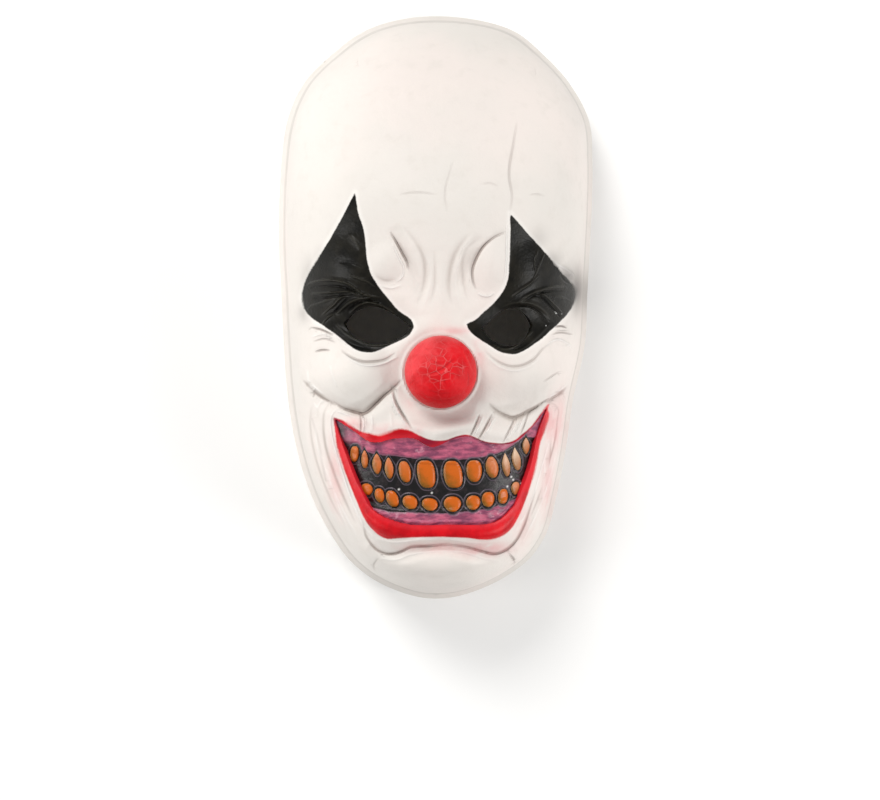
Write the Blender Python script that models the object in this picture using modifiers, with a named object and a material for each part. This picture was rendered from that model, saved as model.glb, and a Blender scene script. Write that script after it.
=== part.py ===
"""Clown mask: a hollow latex face with a ball nose, a toothed mouth and an elastic strap.

Metres. +Z points out of the face, +Y towards the forehead and +X to the right of someone
who looks at it. The mask lies on its rim, whose cut edge is flat at Z = 0.
"""

from collections import namedtuple
from math import pi

import bmesh
import bpy
import numpy as np

# Driving sizes of the face
MASK_WIDTH = 0.160
MASK_LENGTH = 0.297
FACE_DEPTH = 0.088  # from the rim to the brow
RELIEF_DEPTH = 0.006  # what the highest cheek stands out of the plain form
LATEX_WALL = 0.003
RIM_FLARE = 0.003  # how far the rim turns outwards
RIM_FLARE_HEIGHT = 0.008
SEAT_GAP = 0.0003  # between two pieces that are bonded together

# Driving sizes of the features
LEFT_EYE_WIDTH = 0.0336
RIGHT_EYE_WIDTH = 0.0256
EYE_HEIGHT = 0.0187
MOUTH_WIDTH = 0.66375 * MASK_WIDTH  # the mouth spans the same share of any face
MOUTH_HEIGHT = 0.0588
MOUTH_RECESS = 0.001  # the gums lie this far behind the lips' edge
LIP_WIDTH = 0.010
LIP_RISE = 0.0015
TOOTH_RISE = 0.0022
NOSE_RADIUS = 0.0177
NOSE_NECK_RADIUS = 0.0160
NOSE_SEAT_HEIGHT = 0.083  # of the flat ring round the nose, above the rim
NOSE_SEAT_WIDTH = 0.004
STRAP_WIDTH = 0.012
STRAP_THICKNESS = 0.0012
STRAP_TAB = 0.016  # bonded to the wall at each end
STRAP_HUMP = 0.016  # how high its slack stands off the ground

# Fineness of the facets
FRONT_COLUMNS = 23
FACE_ROWS = 33
CHIN_ROWS = 6
CROWN_ROWS = 10
GUM_COLUMNS = 21
GUM_ROWS = 13
NOSE_SIDES = 22

# Squareness of a section near the rim, as the exponent of its height
WALL_SQUARENESS = 2.2

# The net's columns reach evenly over this share of the half width, and on the wall beyond it
# they stand at these shares of the section's height
FRONT_SHARE = 0.84
WALL_HEIGHTS = np.array([0.48, 0.34, 0.21, 0.11, 0.05, 0.0, 0.0])

# The net's rows by angle at the chin, up to the first turn, and at the crown, from the second
CHIN_TURN = 0.115 * pi
CROWN_TURN = 0.66 * pi

# Cutters that go down through the front of the face end at these heights
CUT_FLOOR = FACE_DEPTH / 4
CUT_TOP = 2 * FACE_DEPTH

HALF_WIDTH = MASK_WIDTH / 2
HALF_LENGTH = MASK_LENGTH / 2

# Sections across the face from the chin to the crown. y is a share of the half length, left
# and right of the half width, height of the face depth. squareness is the exponent across.
Section = namedtuple("Section", "y left right height squareness")
SECTIONS = (
    Section(-1.00, 0.00, 0.00, 0.00, 2.4),
    Section(-0.975, 0.235, 0.245, 0.46, 2.5),
    Section(-0.93, 0.41, 0.43, 0.70, 2.6),
    Section(-0.87, 0.545, 0.585, 0.80, 2.8),
    Section(-0.79, 0.655, 0.69, 0.86, 2.9),
    Section(-0.65, 0.79, 0.765, 0.91, 2.9),
    Section(-0.50, 0.88, 0.82, 0.945, 2.9),
    Section(-0.32, 0.94, 0.87, 0.96, 2.9),
    Section(-0.12, 0.97, 0.95, 0.935, 2.9),
    Section(0.05, 0.985, 0.965, 0.91, 2.8),
    Section(0.20, 1.0, 0.981, 0.97, 2.7),
    Section(0.35, 1.0, 0.995, 1.00, 2.6),
    Section(0.50, 0.985, 1.0, 0.945, 2.5),
    Section(0.64, 0.95, 0.982, 0.83, 2.4),
    Section(0.77, 0.846, 0.86, 0.69, 2.35),
    Section(0.88, 0.642, 0.67, 0.51, 2.3),
    Section(0.96, 0.415, 0.465, 0.31, 2.2),
    Section(1.00, 0.00, 0.00, 0.00, 2.2),
)

# Swellings and hollows. x and across are shares of the half width, y and along of the half
# length, turn is in half turns anticlockwise and rise is a share of the relief depth.
Swelling = namedtuple("Swelling", "x y across along turn rise")
SWELLINGS = (
    Swelling(-0.33, 0.13, 0.13, 0.085, 0.03, 0.50),  # left frown drop
    Swelling(0.31, 0.12, 0.12, 0.12, -0.08, 0.55),  # right frown drop
    Swelling(-0.58, 0.10, 0.32, 0.13, -0.12, 0.55),  # left brow
    Swelling(0.60, 0.09, 0.32, 0.13, 0.12, 0.55),  # right brow
    Swelling(-0.38, -0.07, 0.34, 0.11, -0.03, -0.85),  # left eye socket
    Swelling(0.41, -0.08, 0.32, 0.11, 0.03, -0.85),  # right eye socket
    Swelling(0.00, 0.02, 0.14, 0.16, 0.00, 0.45),  # bridge of the nose
    Swelling(-0.54, -0.24, 0.36, 0.125, 0.05, 1.00),  # left cheek
    Swelling(0.56, -0.25, 0.34, 0.125, -0.05, 1.00),  # right cheek
    Swelling(0.00, -0.40, 0.36, 0.085, 0.00, 0.55),  # upper lip
    Swelling(0.02, -0.885, 0.46, 0.085, 0.00, 0.75),  # chin
)

# Creases, each a path of (x, y) shares of the half width and the half length. breadth is
# half the crease's width as a share of the half width, and depth is a share of the relief.
Crease = namedtuple("Crease", "breadth depth path")
CREASES = (
    Crease(0.055, 0.30, ((-0.29, 0.25), (-0.21, 0.14), (-0.12, 0.03))),
    Crease(0.055, 0.30, ((0.25, 0.22), (0.17, 0.13), (0.10, 0.03))),
    Crease(0.07, 0.50, ((-0.82, -0.26), (-0.70, -0.32), (-0.52, -0.36), (-0.38, -0.32), (-0.28, -0.27))),
    Crease(0.07, 0.50, ((0.82, -0.26), (0.68, -0.31), (0.52, -0.355), (0.36, -0.37), (0.22, -0.345))),
    Crease(0.07, 0.40, ((-0.75, -0.32), (-0.75, -0.42), (-0.67, -0.57), (-0.54, -0.71), (-0.43, -0.80))),
    Crease(0.07, 0.50, ((-0.43, -0.80), (-0.28, -0.83), (0.00, -0.80), (0.28, -0.83), (0.47, -0.80))),
    Crease(0.07, 0.40, ((0.47, -0.80), (0.56, -0.71), (0.64, -0.58), (0.69, -0.45), (0.74, -0.30))),
)

# The eye hole from its inner corner over the upper lid and back under the lower one, as
# shares of half its width, towards the nose, and of half its height.
EYE_CORNER = (1.0, -0.05)
UPPER_LID = (
    EYE_CORNER, (0.73, 0.30), (0.40, 0.70), (-0.05, 1.0), (-0.48, 0.90), (-0.80, 0.55), (-1.0, 0.15),
)
LOWER_LID = (
    (-1.0, 0.15), (-0.86, -0.25), (-0.60, -0.70), (-0.20, -0.97), (0.25, -0.93), (0.70, -0.56), EYE_CORNER,
)
Eye = namedtuple("Eye", "name x y width inwards")
EYES = (
    Eye("left_eye_cutter", -0.382, -0.073, LEFT_EYE_WIDTH, 1),
    Eye("right_eye_cutter", 0.416, -0.078, RIGHT_EYE_WIDTH, -1),
)

# The mouth opening from its left tip along the upper edge and back along the lower one, as
# shares of half its width and height. Its centre is in shares of the face's half sizes.
MOUTH_X = 0.014
MOUTH_Y = -0.532
LEFT_TIP = (-1.0, 0.78)
RIGHT_TIP = (1.0, 1.0)
MOUTH_UPPER = (
    LEFT_TIP, (-0.83, 0.58), (-0.62, 0.37), (-0.45, 0.44), (-0.29, 0.45), (-0.10, 0.30),
    (0.12, 0.45), (0.23, 0.48), (0.40, 0.37), (0.62, 0.35), (0.82, 0.60), RIGHT_TIP,
)
MOUTH_LOWER = (
    RIGHT_TIP, (0.89, 0.48), (0.84, 0.05), (0.75, -0.40), (0.66, -0.72), (0.50, -0.96),
    (0.07, -1.0), (-0.36, -0.98), (-0.60, -0.82), (-0.76, -0.40), (-0.90, 0.22), LEFT_TIP,
)

# Teeth, in shares of half the mouth's width and height.
Tooth = namedtuple("Tooth", "x y half_width half_height")
TEETH = (
    Tooth(-0.81, 0.18, 0.040, 0.13),
    Tooth(-0.72, 0.09, 0.032, 0.14),
    Tooth(-0.60, 0.01, 0.042, 0.17),
    Tooth(-0.49, -0.06, 0.040, 0.17),
    Tooth(-0.34, -0.12, 0.055, 0.18),
    Tooth(-0.15, -0.17, 0.083, 0.23),
    Tooth(0.10, -0.17, 0.088, 0.22),
    Tooth(0.30, -0.11, 0.071, 0.18),
    Tooth(0.46, -0.05, 0.059, 0.17),
    Tooth(0.59, -0.03, 0.040, 0.18),
    Tooth(0.68, 0.08, 0.042, 0.17),
    Tooth(0.78, 0.31, 0.037, 0.13),
    Tooth(-0.69, -0.42, 0.052, 0.10),
    Tooth(-0.58, -0.52, 0.048, 0.12),
    Tooth(-0.46, -0.58, 0.060, 0.14),
    Tooth(-0.29, -0.64, 0.068, 0.12),
    Tooth(-0.11, -0.67, 0.076, 0.11),
    Tooth(0.09, -0.67, 0.083, 0.14),
    Tooth(0.29, -0.64, 0.066, 0.12),
    Tooth(0.42, -0.59, 0.059, 0.12),
    Tooth(0.56, -0.53, 0.048, 0.12),
    Tooth(0.68, -0.41, 0.051, 0.11),
)

NOSE_X = 0.0
NOSE_Y = -0.226 * HALF_LENGTH
NOSE_STAND_OFF = (NOSE_RADIUS**2 - NOSE_NECK_RADIUS**2) ** 0.5 + SEAT_GAP
STRAP_Y = 0.20 * HALF_LENGTH
STRAP_TOP = 0.024

# Colour, roughness and metallic value of each piece
Finish = namedtuple("Finish", "colour roughness metallic")
FINISHES = {
    "face_shell": Finish((0.86, 0.81, 0.77), 0.45, 0.0),
    "red_nose": Finish((0.72, 0.02, 0.03), 0.40, 0.0),
    "teeth_plate": Finish((0.42, 0.14, 0.20), 0.35, 0.0),
    "elastic_strap": Finish((0.03, 0.03, 0.03), 0.80, 0.0),
}


def clear_scene():
    for obj in list(bpy.data.objects):
        bpy.data.objects.remove(obj)


def new_collection(name):
    collection = bpy.data.collections.new(name)
    bpy.context.scene.collection.children.link(collection)
    return collection


def column(table, name):
    return np.array([getattr(row, name) for row in table])


def smooth_through(places, values, at):
    """A cubic through the values, whose slope at each place comes from its neighbours."""
    places, values = np.asarray(places, float), np.asarray(values, float)
    slopes = np.gradient(values, places)
    at = np.clip(at, places[0], places[-1])
    span = np.clip(np.searchsorted(places, at, side="right") - 1, 0, len(places) - 2)
    width = places[span + 1] - places[span]
    t = (at - places[span]) / width
    return (
        (2 * t**3 - 3 * t**2 + 1) * values[span]
        + (t**3 - 2 * t**2 + t) * width * slopes[span]
        + (-2 * t**3 + 3 * t**2) * values[span + 1]
        + (t**3 - t**2) * width * slopes[span + 1]
    )


def smooth_step(low, high, value):
    t = np.clip((value - low) / (high - low), 0, 1)
    return t * t * (3 - 2 * t)


def mound(distance):
    """1 at the middle, level there and at its foot, where distance is 1."""
    return np.clip(1 - distance**2, 0, 1) ** 2


def smooth_path(points, count):
    """Points along a smooth open path through the given ones."""
    points = np.array(points, float)
    steps = np.linalg.norm(np.diff(points, axis=0), axis=1)
    along = np.concatenate([[0], np.cumsum(steps)])
    at = np.linspace(0, along[-1], count)
    return np.stack([smooth_through(along, points[:, k], at) for k in (0, 1)], axis=1)


def near_path(x, y, path):
    """For each place: its distance from a path of straight runs, and its share of the way along."""
    start, run = path[:-1], np.diff(path, axis=0)
    to_x, to_y = x[..., None] - start[:, 0], y[..., None] - start[:, 1]
    share = np.clip((to_x * run[:, 0] + to_y * run[:, 1]) / (run**2).sum(axis=1), 0, 1)
    distance = np.hypot(to_x - share * run[:, 0], to_y - share * run[:, 1])
    nearest = distance.argmin(axis=-1)[..., None]
    along = (nearest + np.take_along_axis(share, nearest, axis=-1)) / len(run)
    return np.take_along_axis(distance, nearest, axis=-1)[..., 0], along[..., 0]


def distance_to_path(x, y, path):
    return near_path(x, y, path)[0]


def section_at(y_share, name):
    """A column of the sections, smooth in the angle from the chin, so that both ends are round."""
    angles = np.arccos(-column(SECTIONS, "y"))
    return smooth_through(angles, column(SECTIONS, name), np.arccos(-np.clip(y_share, -1, 1)))


def body_half_width(side, y_share):
    """Half width of the plain form above the flared rim, on the side that the sign gives."""
    share = np.where(side < 0, section_at(y_share, "left"), section_at(y_share, "right"))
    return share * (HALF_WIDTH - RIM_FLARE)


def plain_height(x, y):
    """Height of the plain form over a place, on a superellipse across each section."""
    y_share = y / (HALF_LENGTH - RIM_FLARE)
    across = np.abs(x) / np.maximum(body_half_width(x, y_share), 1e-6)
    fullness = np.clip(1 - np.clip(across, 0, 1) ** section_at(y_share, "squareness"), 0, 1)
    return FACE_DEPTH * section_at(y_share, "height") * fullness ** (1 / WALL_SQUARENESS)


def mouth_outline(grown=0.0):
    """The mouth's edge, moved out by the given length."""
    loop = np.concatenate([smooth_path(MOUTH_UPPER, 34)[:-1], smooth_path(MOUTH_LOWER, 34)[:-1]])
    loop = loop * (MOUTH_WIDTH / 2, MOUTH_HEIGHT / 2) + (MOUTH_X * HALF_WIDTH, MOUTH_Y * HALF_LENGTH)
    along = np.roll(loop, -1, axis=0) - np.roll(loop, 1, axis=0)
    outwards = np.stack([-along[:, 1], along[:, 0]], axis=1)
    moved = loop + grown * outwards / np.linalg.norm(outwards, axis=1, keepdims=True)
    # Where the two lips meet at a sharp tip, moved points that come too near the edge are left out.
    away = distance_to_path(moved[:, 0], moved[:, 1], np.concatenate([loop, loop[:1]]))
    return moved[away >= 0.95 * abs(grown)]


def eye_outline(eye):
    loop = np.concatenate([smooth_path(UPPER_LID, 12)[:-1], smooth_path(LOWER_LID, 12)[:-1]])
    centre = (eye.x * HALF_WIDTH, eye.y * HALF_LENGTH)
    return loop * (eye.inwards * eye.width / 2, EYE_HEIGHT / 2) + centre


def relief(x, y):
    """Height of the swellings and creases over the plain form."""
    total = np.zeros_like(x)
    for swelling in SWELLINGS:
        across = x / HALF_WIDTH - swelling.x
        along = (y / HALF_LENGTH - swelling.y) * HALF_LENGTH / HALF_WIDTH
        cosine, sine = np.cos(pi * swelling.turn), np.sin(pi * swelling.turn)
        u = (across * cosine + along * sine) / swelling.across
        v = (along * cosine - across * sine) / (swelling.along * HALF_LENGTH / HALF_WIDTH)
        total += swelling.rise * RELIEF_DEPTH * mound(np.hypot(u, v))
    for crease in CREASES:
        path = smooth_path(crease.path, 16) * (HALF_WIDTH, HALF_LENGTH)
        distance, along = near_path(x, y, path)
        # The crease runs out level at both ends.
        depth = crease.depth * RELIEF_DEPTH * np.sin(pi * along) ** 0.5
        total -= depth * mound(distance / (crease.breadth * HALF_WIDTH))
    return total


def lip_roll(x, y):
    """The lips, a raised roll just outside the mouth's edge."""
    loop = mouth_outline(LIP_WIDTH / 2)
    distance = distance_to_path(x, y, np.concatenate([loop, loop[:1]]))
    return LIP_RISE * mound(distance / (LIP_WIDTH / 2))


def with_nose_seat(x, y, z):
    """The height, brought level in a ring round the nose."""
    radius = np.hypot(x - NOSE_X, y - NOSE_Y)
    inner = NOSE_NECK_RADIUS + NOSE_SEAT_WIDTH
    return z + (NOSE_SEAT_HEIGHT - z) * (1 - smooth_step(inner, inner + LIP_WIDTH, radius))


def flare(x, y, z):
    """The places, moved outwards near the rim."""
    strength = RIM_FLARE * np.clip(1 - z / RIM_FLARE_HEIGHT, 0, 1) ** 2
    out_x, out_y = x / HALF_WIDTH**2, y / HALF_LENGTH**2
    length = np.maximum(np.hypot(out_x, out_y), 1e-9)
    return x + strength * out_x / length, y + strength * out_y / length


def shell_rows():
    """Shares of the half length: close together on the face, and by angle at both ends."""
    chin = -np.cos(np.linspace(0, CHIN_TURN, CHIN_ROWS, endpoint=False))
    crown = -np.cos(np.linspace(CROWN_TURN, pi, CROWN_ROWS))
    face = np.linspace(-np.cos(CHIN_TURN), crown[0], FACE_ROWS, endpoint=False)
    return np.concatenate([chin, face, crown])


def shell_columns(squareness):
    """For one section: each column's signed share of the half width and share of the height."""
    front = np.linspace(-FRONT_SHARE, FRONT_SHARE, FRONT_COLUMNS)
    wall = (1 - WALL_HEIGHTS**WALL_SQUARENESS) ** (1 / squareness)
    front_heights = (1 - np.abs(front) ** squareness) ** (1 / WALL_SQUARENESS)
    across = np.concatenate([-wall[::-1], front, wall])
    heights = np.concatenate([WALL_HEIGHTS[::-1], front_heights, WALL_HEIGHTS])
    return across, heights


def front_share(z):
    """1 on the front of the face and 0 on its side walls, which carry no relief."""
    return smooth_step(0.30 * FACE_DEPTH, 0.55 * FACE_DEPTH, z)


def shell_points():
    """The outer surface from the left rim over the face to the right rim, row by row."""
    rows = []
    for y_share in shell_rows():
        across, heights = shell_columns(section_at(y_share, "squareness"))
        x = across * body_half_width(across, y_share)
        y = np.full_like(x, y_share * (HALF_LENGTH - RIM_FLARE))
        z = heights * FACE_DEPTH * section_at(y_share, "height")
        z = with_nose_seat(x, y, z + front_share(z) * (relief(x, y) + lip_roll(x, y)))
        x, y = flare(x, y, z)
        # The first and last columns reach below the rim, where a level cut takes them off.
        z[[0, -1]] = -LATEX_WALL
        rows.append(np.stack([x, y, z], axis=1))
    return np.array(rows)


def finish(obj, name):
    """Give a piece its material and round shading."""
    look = FINISHES[name]
    material = bpy.data.materials.new(name)
    material.use_nodes = True
    shader = material.node_tree.nodes["Principled BSDF"]
    shader.inputs["Base Color"].default_value = (*look.colour, 1.0)
    shader.inputs["Roughness"].default_value = look.roughness
    shader.inputs["Metallic"].default_value = look.metallic
    obj.data.materials.append(material)
    obj.data.shade_smooth()


def mesh_object(name, mesh_builder, collection):
    """A new object in the collection whose mesh is what the builder leaves in a bmesh."""
    shape = bmesh.new()
    mesh_builder(shape)
    mesh = bpy.data.meshes.new(name)
    shape.to_mesh(mesh)
    shape.free()
    obj = bpy.data.objects.new(name, mesh)
    collection.objects.link(obj)
    return obj


def sheet_object(name, points, collection):
    """An open sheet through rows of points, as a grid whose corners are moved there."""

    def build(shape):
        rows, columns = points.shape[:2]
        bmesh.ops.create_grid(shape, x_segments=columns - 1, y_segments=rows - 1, size=1)
        for corner, place in zip(shape.verts, points.reshape(-1, 3)):
            corner.co = place
        bmesh.ops.remove_doubles(shape, verts=shape.verts, dist=1e-6)

    return mesh_object(name, build, collection)


def thicken(obj, thickness, offset):
    """A wall behind the sheet (offset -1) or half on each side of it (offset 0)."""
    wall = obj.modifiers.new("wall", "SOLIDIFY")
    wall.thickness = thickness
    wall.offset = offset


def combine(obj, other, operation):
    step = obj.modifiers.new(operation.lower() + "_" + other.name, "BOOLEAN")
    step.operation = operation
    step.solver = "EXACT"
    step.object = other


def as_cutter(obj):
    obj.hide_render = True
    obj.display_type = "WIRE"
    return obj


def prism_cutter(name, outline, collection):
    """An upright prism over a flat outline, through the front of the face only: a filled curve,
    extruded and made a mesh."""
    curve = bpy.data.curves.new(name, "CURVE")
    curve.dimensions = "2D"
    curve.fill_mode = "BOTH"
    curve.extrude = (CUT_TOP - CUT_FLOOR) / 2
    spline = curve.splines.new("POLY")
    spline.points.add(len(outline) - 1)
    for point, (x, y) in zip(spline.points, outline):
        point.co = (x, y, 0, 1)
    spline.use_cyclic_u = True
    guide = bpy.data.objects.new(name + "_guide", curve)
    guide.location.z = (CUT_TOP + CUT_FLOOR) / 2
    collection.objects.link(guide)
    bpy.context.view_layer.update()
    mesh = bpy.data.meshes.new_from_object(guide.evaluated_get(bpy.context.evaluated_depsgraph_get()))
    shape = bmesh.new()
    shape.from_mesh(mesh)
    bmesh.ops.remove_doubles(shape, verts=shape.verts, dist=1e-6)
    shape.to_mesh(mesh)
    shape.free()
    cutter = bpy.data.objects.new(name, mesh)
    cutter.matrix_world = guide.matrix_world
    collection.objects.link(cutter)
    bpy.data.objects.remove(guide)
    return as_cutter(cutter)


def rim_cutter(collection):
    """A block under the rim's plane."""

    def build(shape):
        bmesh.ops.create_cube(shape, size=1)
        depth = 4 * LATEX_WALL
        bmesh.ops.scale(shape, vec=(2 * MASK_WIDTH, 2 * MASK_LENGTH, depth), verts=shape.verts)
        bmesh.ops.translate(shape, vec=(0, 0, -depth / 2), verts=shape.verts)

    return as_cutter(mesh_object("rim_cutter", build, collection))


def nose_outline(radius):
    angles = np.linspace(0, 2 * pi, 2 * NOSE_SIDES, endpoint=False)
    return np.stack([NOSE_X + radius * np.cos(angles), NOSE_Y + radius * np.sin(angles)], axis=1)


def make_face_shell(parts, cutters):
    """The latex face: one wall, cut level at the rim, with holes for eyes, nose and mouth."""
    shell = sheet_object("face_shell", shell_points(), parts)
    thicken(shell, LATEX_WALL, -1)
    combine(shell, rim_cutter(cutters), "DIFFERENCE")
    for eye in EYES:
        combine(shell, prism_cutter(eye.name, eye_outline(eye), cutters), "DIFFERENCE")
    nose_hole = nose_outline(NOSE_NECK_RADIUS + SEAT_GAP)
    combine(shell, prism_cutter("nose_cutter", nose_hole, cutters), "DIFFERENCE")
    combine(shell, prism_cutter("mouth_cutter", mouth_outline(), cutters), "DIFFERENCE")
    finish(shell, "face_shell")
    return shell


def make_teeth_plate(parts, cutters):
    """Gums and teeth, trimmed to the mouth opening. Each tooth is an ellipsoid half sunk in the gums."""
    outline = mouth_outline()
    low, high = outline.min(axis=0) - LATEX_WALL, outline.max(axis=0) + LATEX_WALL
    columns = np.linspace(low[0], high[0], GUM_COLUMNS)
    x, y = np.meshgrid(columns, np.linspace(low[1], high[1], GUM_ROWS))
    gums = np.stack([x, y, plain_height(x, y) + relief(x, y) - MOUTH_RECESS], axis=2)
    plate = sheet_object("teeth_plate", gums, parts)
    thicken(plate, LATEX_WALL, -1)

    def build_teeth(shape):
        for tooth in TEETH:
            at = np.array([tooth.x * MOUTH_WIDTH / 2, tooth.y * MOUTH_HEIGHT / 2])
            at = at + (MOUTH_X * HALF_WIDTH, MOUTH_Y * HALF_LENGTH)
            height = (plain_height(*at) + relief(*at) - MOUTH_RECESS).item()
            made = bmesh.ops.create_uvsphere(shape, u_segments=10, v_segments=7, radius=1)["verts"]
            size = (tooth.half_width * MOUTH_WIDTH / 2, tooth.half_height * MOUTH_HEIGHT / 2, TOOTH_RISE)
            bmesh.ops.scale(shape, vec=size, verts=made)
            bmesh.ops.translate(shape, vec=(*at, height), verts=made)

    combine(plate, as_cutter(mesh_object("tooth_forms", build_teeth, cutters)), "UNION")
    fit = prism_cutter("mouth_fit", mouth_outline(-SEAT_GAP), cutters)
    combine(plate, fit, "INTERSECT")
    finish(plate, "teeth_plate")
    return plate


def make_red_nose(parts):
    """A hollow ball on a short neck, turned about its own axis."""
    wall = LATEX_WALL
    neck_end = -NOSE_STAND_OFF - wall
    outer_foot = -np.arccos(NOSE_NECK_RADIUS / NOSE_RADIUS)
    inner_foot = -np.arccos((NOSE_NECK_RADIUS - wall) / (NOSE_RADIUS - wall))
    outer = np.linspace(pi / 2, outer_foot, 11)
    inner = np.linspace(inner_foot, pi / 2, 8)
    profile = [(NOSE_RADIUS * np.cos(a), NOSE_RADIUS * np.sin(a)) for a in outer]
    profile += [(NOSE_NECK_RADIUS, neck_end), (NOSE_NECK_RADIUS - wall, neck_end)]
    profile += [((NOSE_RADIUS - wall) * np.cos(a), (NOSE_RADIUS - wall) * np.sin(a)) for a in inner]

    def build(shape):
        corners = [shape.verts.new((r, 0, z)) for r, z in profile]
        for first, second in zip(corners, corners[1:]):
            shape.edges.new((first, second))

    nose = mesh_object("red_nose", build, parts)
    nose.location = (NOSE_X, NOSE_Y, NOSE_SEAT_HEIGHT + NOSE_STAND_OFF)
    turn = nose.modifiers.new("turn", "SCREW")
    turn.axis = "Z"
    turn.angle = 2 * pi
    turn.steps = turn.render_steps = NOSE_SIDES
    turn.use_merge_vertices = True
    turn.merge_threshold = 0.0001
    finish(nose, "red_nose")
    return nose


def strap_line():
    """The strap from its left tab down to the ground, over two low humps and up the other side."""
    y_share = STRAP_Y / (HALF_LENGTH - RIM_FLARE)
    height = FACE_DEPTH * section_at(y_share, "height")
    squareness = section_at(y_share, "squareness")
    inset = LATEX_WALL + SEAT_GAP + STRAP_THICKNESS / 2 + SEAT_GAP
    tab_z = np.linspace(STRAP_TOP, STRAP_TOP - STRAP_TAB, 4)
    rest = STRAP_THICKNESS / 2 + SEAT_GAP
    runs = []
    for side in (-1, 1):
        share = (1 - (tab_z / height) ** WALL_SQUARENESS) ** (1 / squareness)
        tab_x = side * (share * body_half_width(side, y_share) - inset)
        bend = tab_z[-1] - rest
        turn = np.linspace(0, pi / 2, 6)[1:]
        bend_x = tab_x[-1] - side * bend * (1 - np.cos(turn))
        bend_z = tab_z[-1] - bend * np.sin(turn)
        runs.append((np.concatenate([tab_x, bend_x]), np.concatenate([tab_z, bend_z])))
    (left_x, left_z), (right_x, right_z) = runs
    along = np.linspace(0, 1, 30)[1:-1]
    slack_x = left_x[-1] + (right_x[-1] - left_x[-1]) * along
    slack_z = rest + STRAP_HUMP * np.sin(2 * pi * along) ** 2
    return (
        np.concatenate([left_x, slack_x, right_x[::-1]]),
        np.concatenate([left_z, slack_z, right_z[::-1]]),
    )


def make_elastic_strap(parts):
    x, z = strap_line()
    edges = [STRAP_Y - STRAP_WIDTH / 2, STRAP_Y + STRAP_WIDTH / 2]
    points = np.array([np.stack([x, np.full_like(x, y), z], axis=1) for y in edges])
    strap = sheet_object("elastic_strap", points, parts)
    thicken(strap, STRAP_THICKNESS, 0)
    finish(strap, "elastic_strap")
    return strap


def main():
    clear_scene()
    parts = new_collection("clown_mask")
    cutters = new_collection("clown_mask_cutters")
    whole = bpy.data.objects.new("mask_frame", None)
    parts.objects.link(whole)
    made = [
        make_face_shell(parts, cutters),
        make_teeth_plate(parts, cutters),
        make_red_nose(parts),
        make_elastic_strap(parts),
    ]
    for piece in made:
        piece.parent = whole


main()
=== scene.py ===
"""The clown mask as it looks: painted latex, a ball nose, teeth and an elastic strap on a pale floor."""

from collections import namedtuple
from math import pi, radians

import bpy
import numpy as np
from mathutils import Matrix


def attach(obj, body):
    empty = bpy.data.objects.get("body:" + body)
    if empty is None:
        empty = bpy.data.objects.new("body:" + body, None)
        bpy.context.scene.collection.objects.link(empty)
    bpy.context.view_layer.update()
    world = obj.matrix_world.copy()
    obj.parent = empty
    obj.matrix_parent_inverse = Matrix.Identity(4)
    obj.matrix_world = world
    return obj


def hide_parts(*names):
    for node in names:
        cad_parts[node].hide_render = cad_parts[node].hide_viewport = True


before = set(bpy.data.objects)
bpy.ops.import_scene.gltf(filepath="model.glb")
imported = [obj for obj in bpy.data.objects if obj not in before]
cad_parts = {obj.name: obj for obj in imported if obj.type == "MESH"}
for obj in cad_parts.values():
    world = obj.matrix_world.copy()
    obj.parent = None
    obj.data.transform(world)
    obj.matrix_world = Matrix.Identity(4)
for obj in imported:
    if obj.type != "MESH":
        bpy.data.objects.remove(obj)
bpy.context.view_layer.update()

MM = 0.001

# The picture's frame, in its own points, and the camera that sees the mask there
PICTURE_WIDTH = 880
PICTURE_HEIGHT = 800
POINT_SIZE = 0.51 * MM  # what one point covers on the rim's plane
CAMERA_HEIGHT = 2.0
CAMERA_TURN = radians(1.5)
VIEW_CENTRE = (2.04 * MM, -47.2 * MM)
FILM_WIDTH = 36.0

# Sizes that the solids have too
MASK_WIDTH = 0.160
MASK_LENGTH = 0.297
FACE_DEPTH = 0.088
RELIEF_DEPTH = 0.006
LATEX_WALL = 0.003
RIM_FLARE = 0.003
RIM_FLARE_HEIGHT = 0.008
WALL_SQUARENESS = 2.2
MOUTH_WIDTH = 0.1062
MOUTH_HEIGHT = 0.0588
EYE_HEIGHT = 0.0187
LIP_WIDTH = 0.010
LIP_RISE = 0.0015
NOSE_RADIUS = 0.0177
NOSE_NECK_RADIUS = 0.0160
NOSE_SEAT_HEIGHT = 0.083
NOSE_SEAT_WIDTH = 0.004
SEAT_GAP = 0.0003
STRAP_WIDTH = 0.012
STRAP_THICKNESS = 0.0012
STRAP_TAB = 0.016
STRAP_HUMP = 0.016
STRAP_TOP = 0.024
HALF_WIDTH = MASK_WIDTH / 2
HALF_LENGTH = MASK_LENGTH / 2
NOSE_Y = -0.226 * HALF_LENGTH
STRAP_Y = 0.20 * HALF_LENGTH

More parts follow.
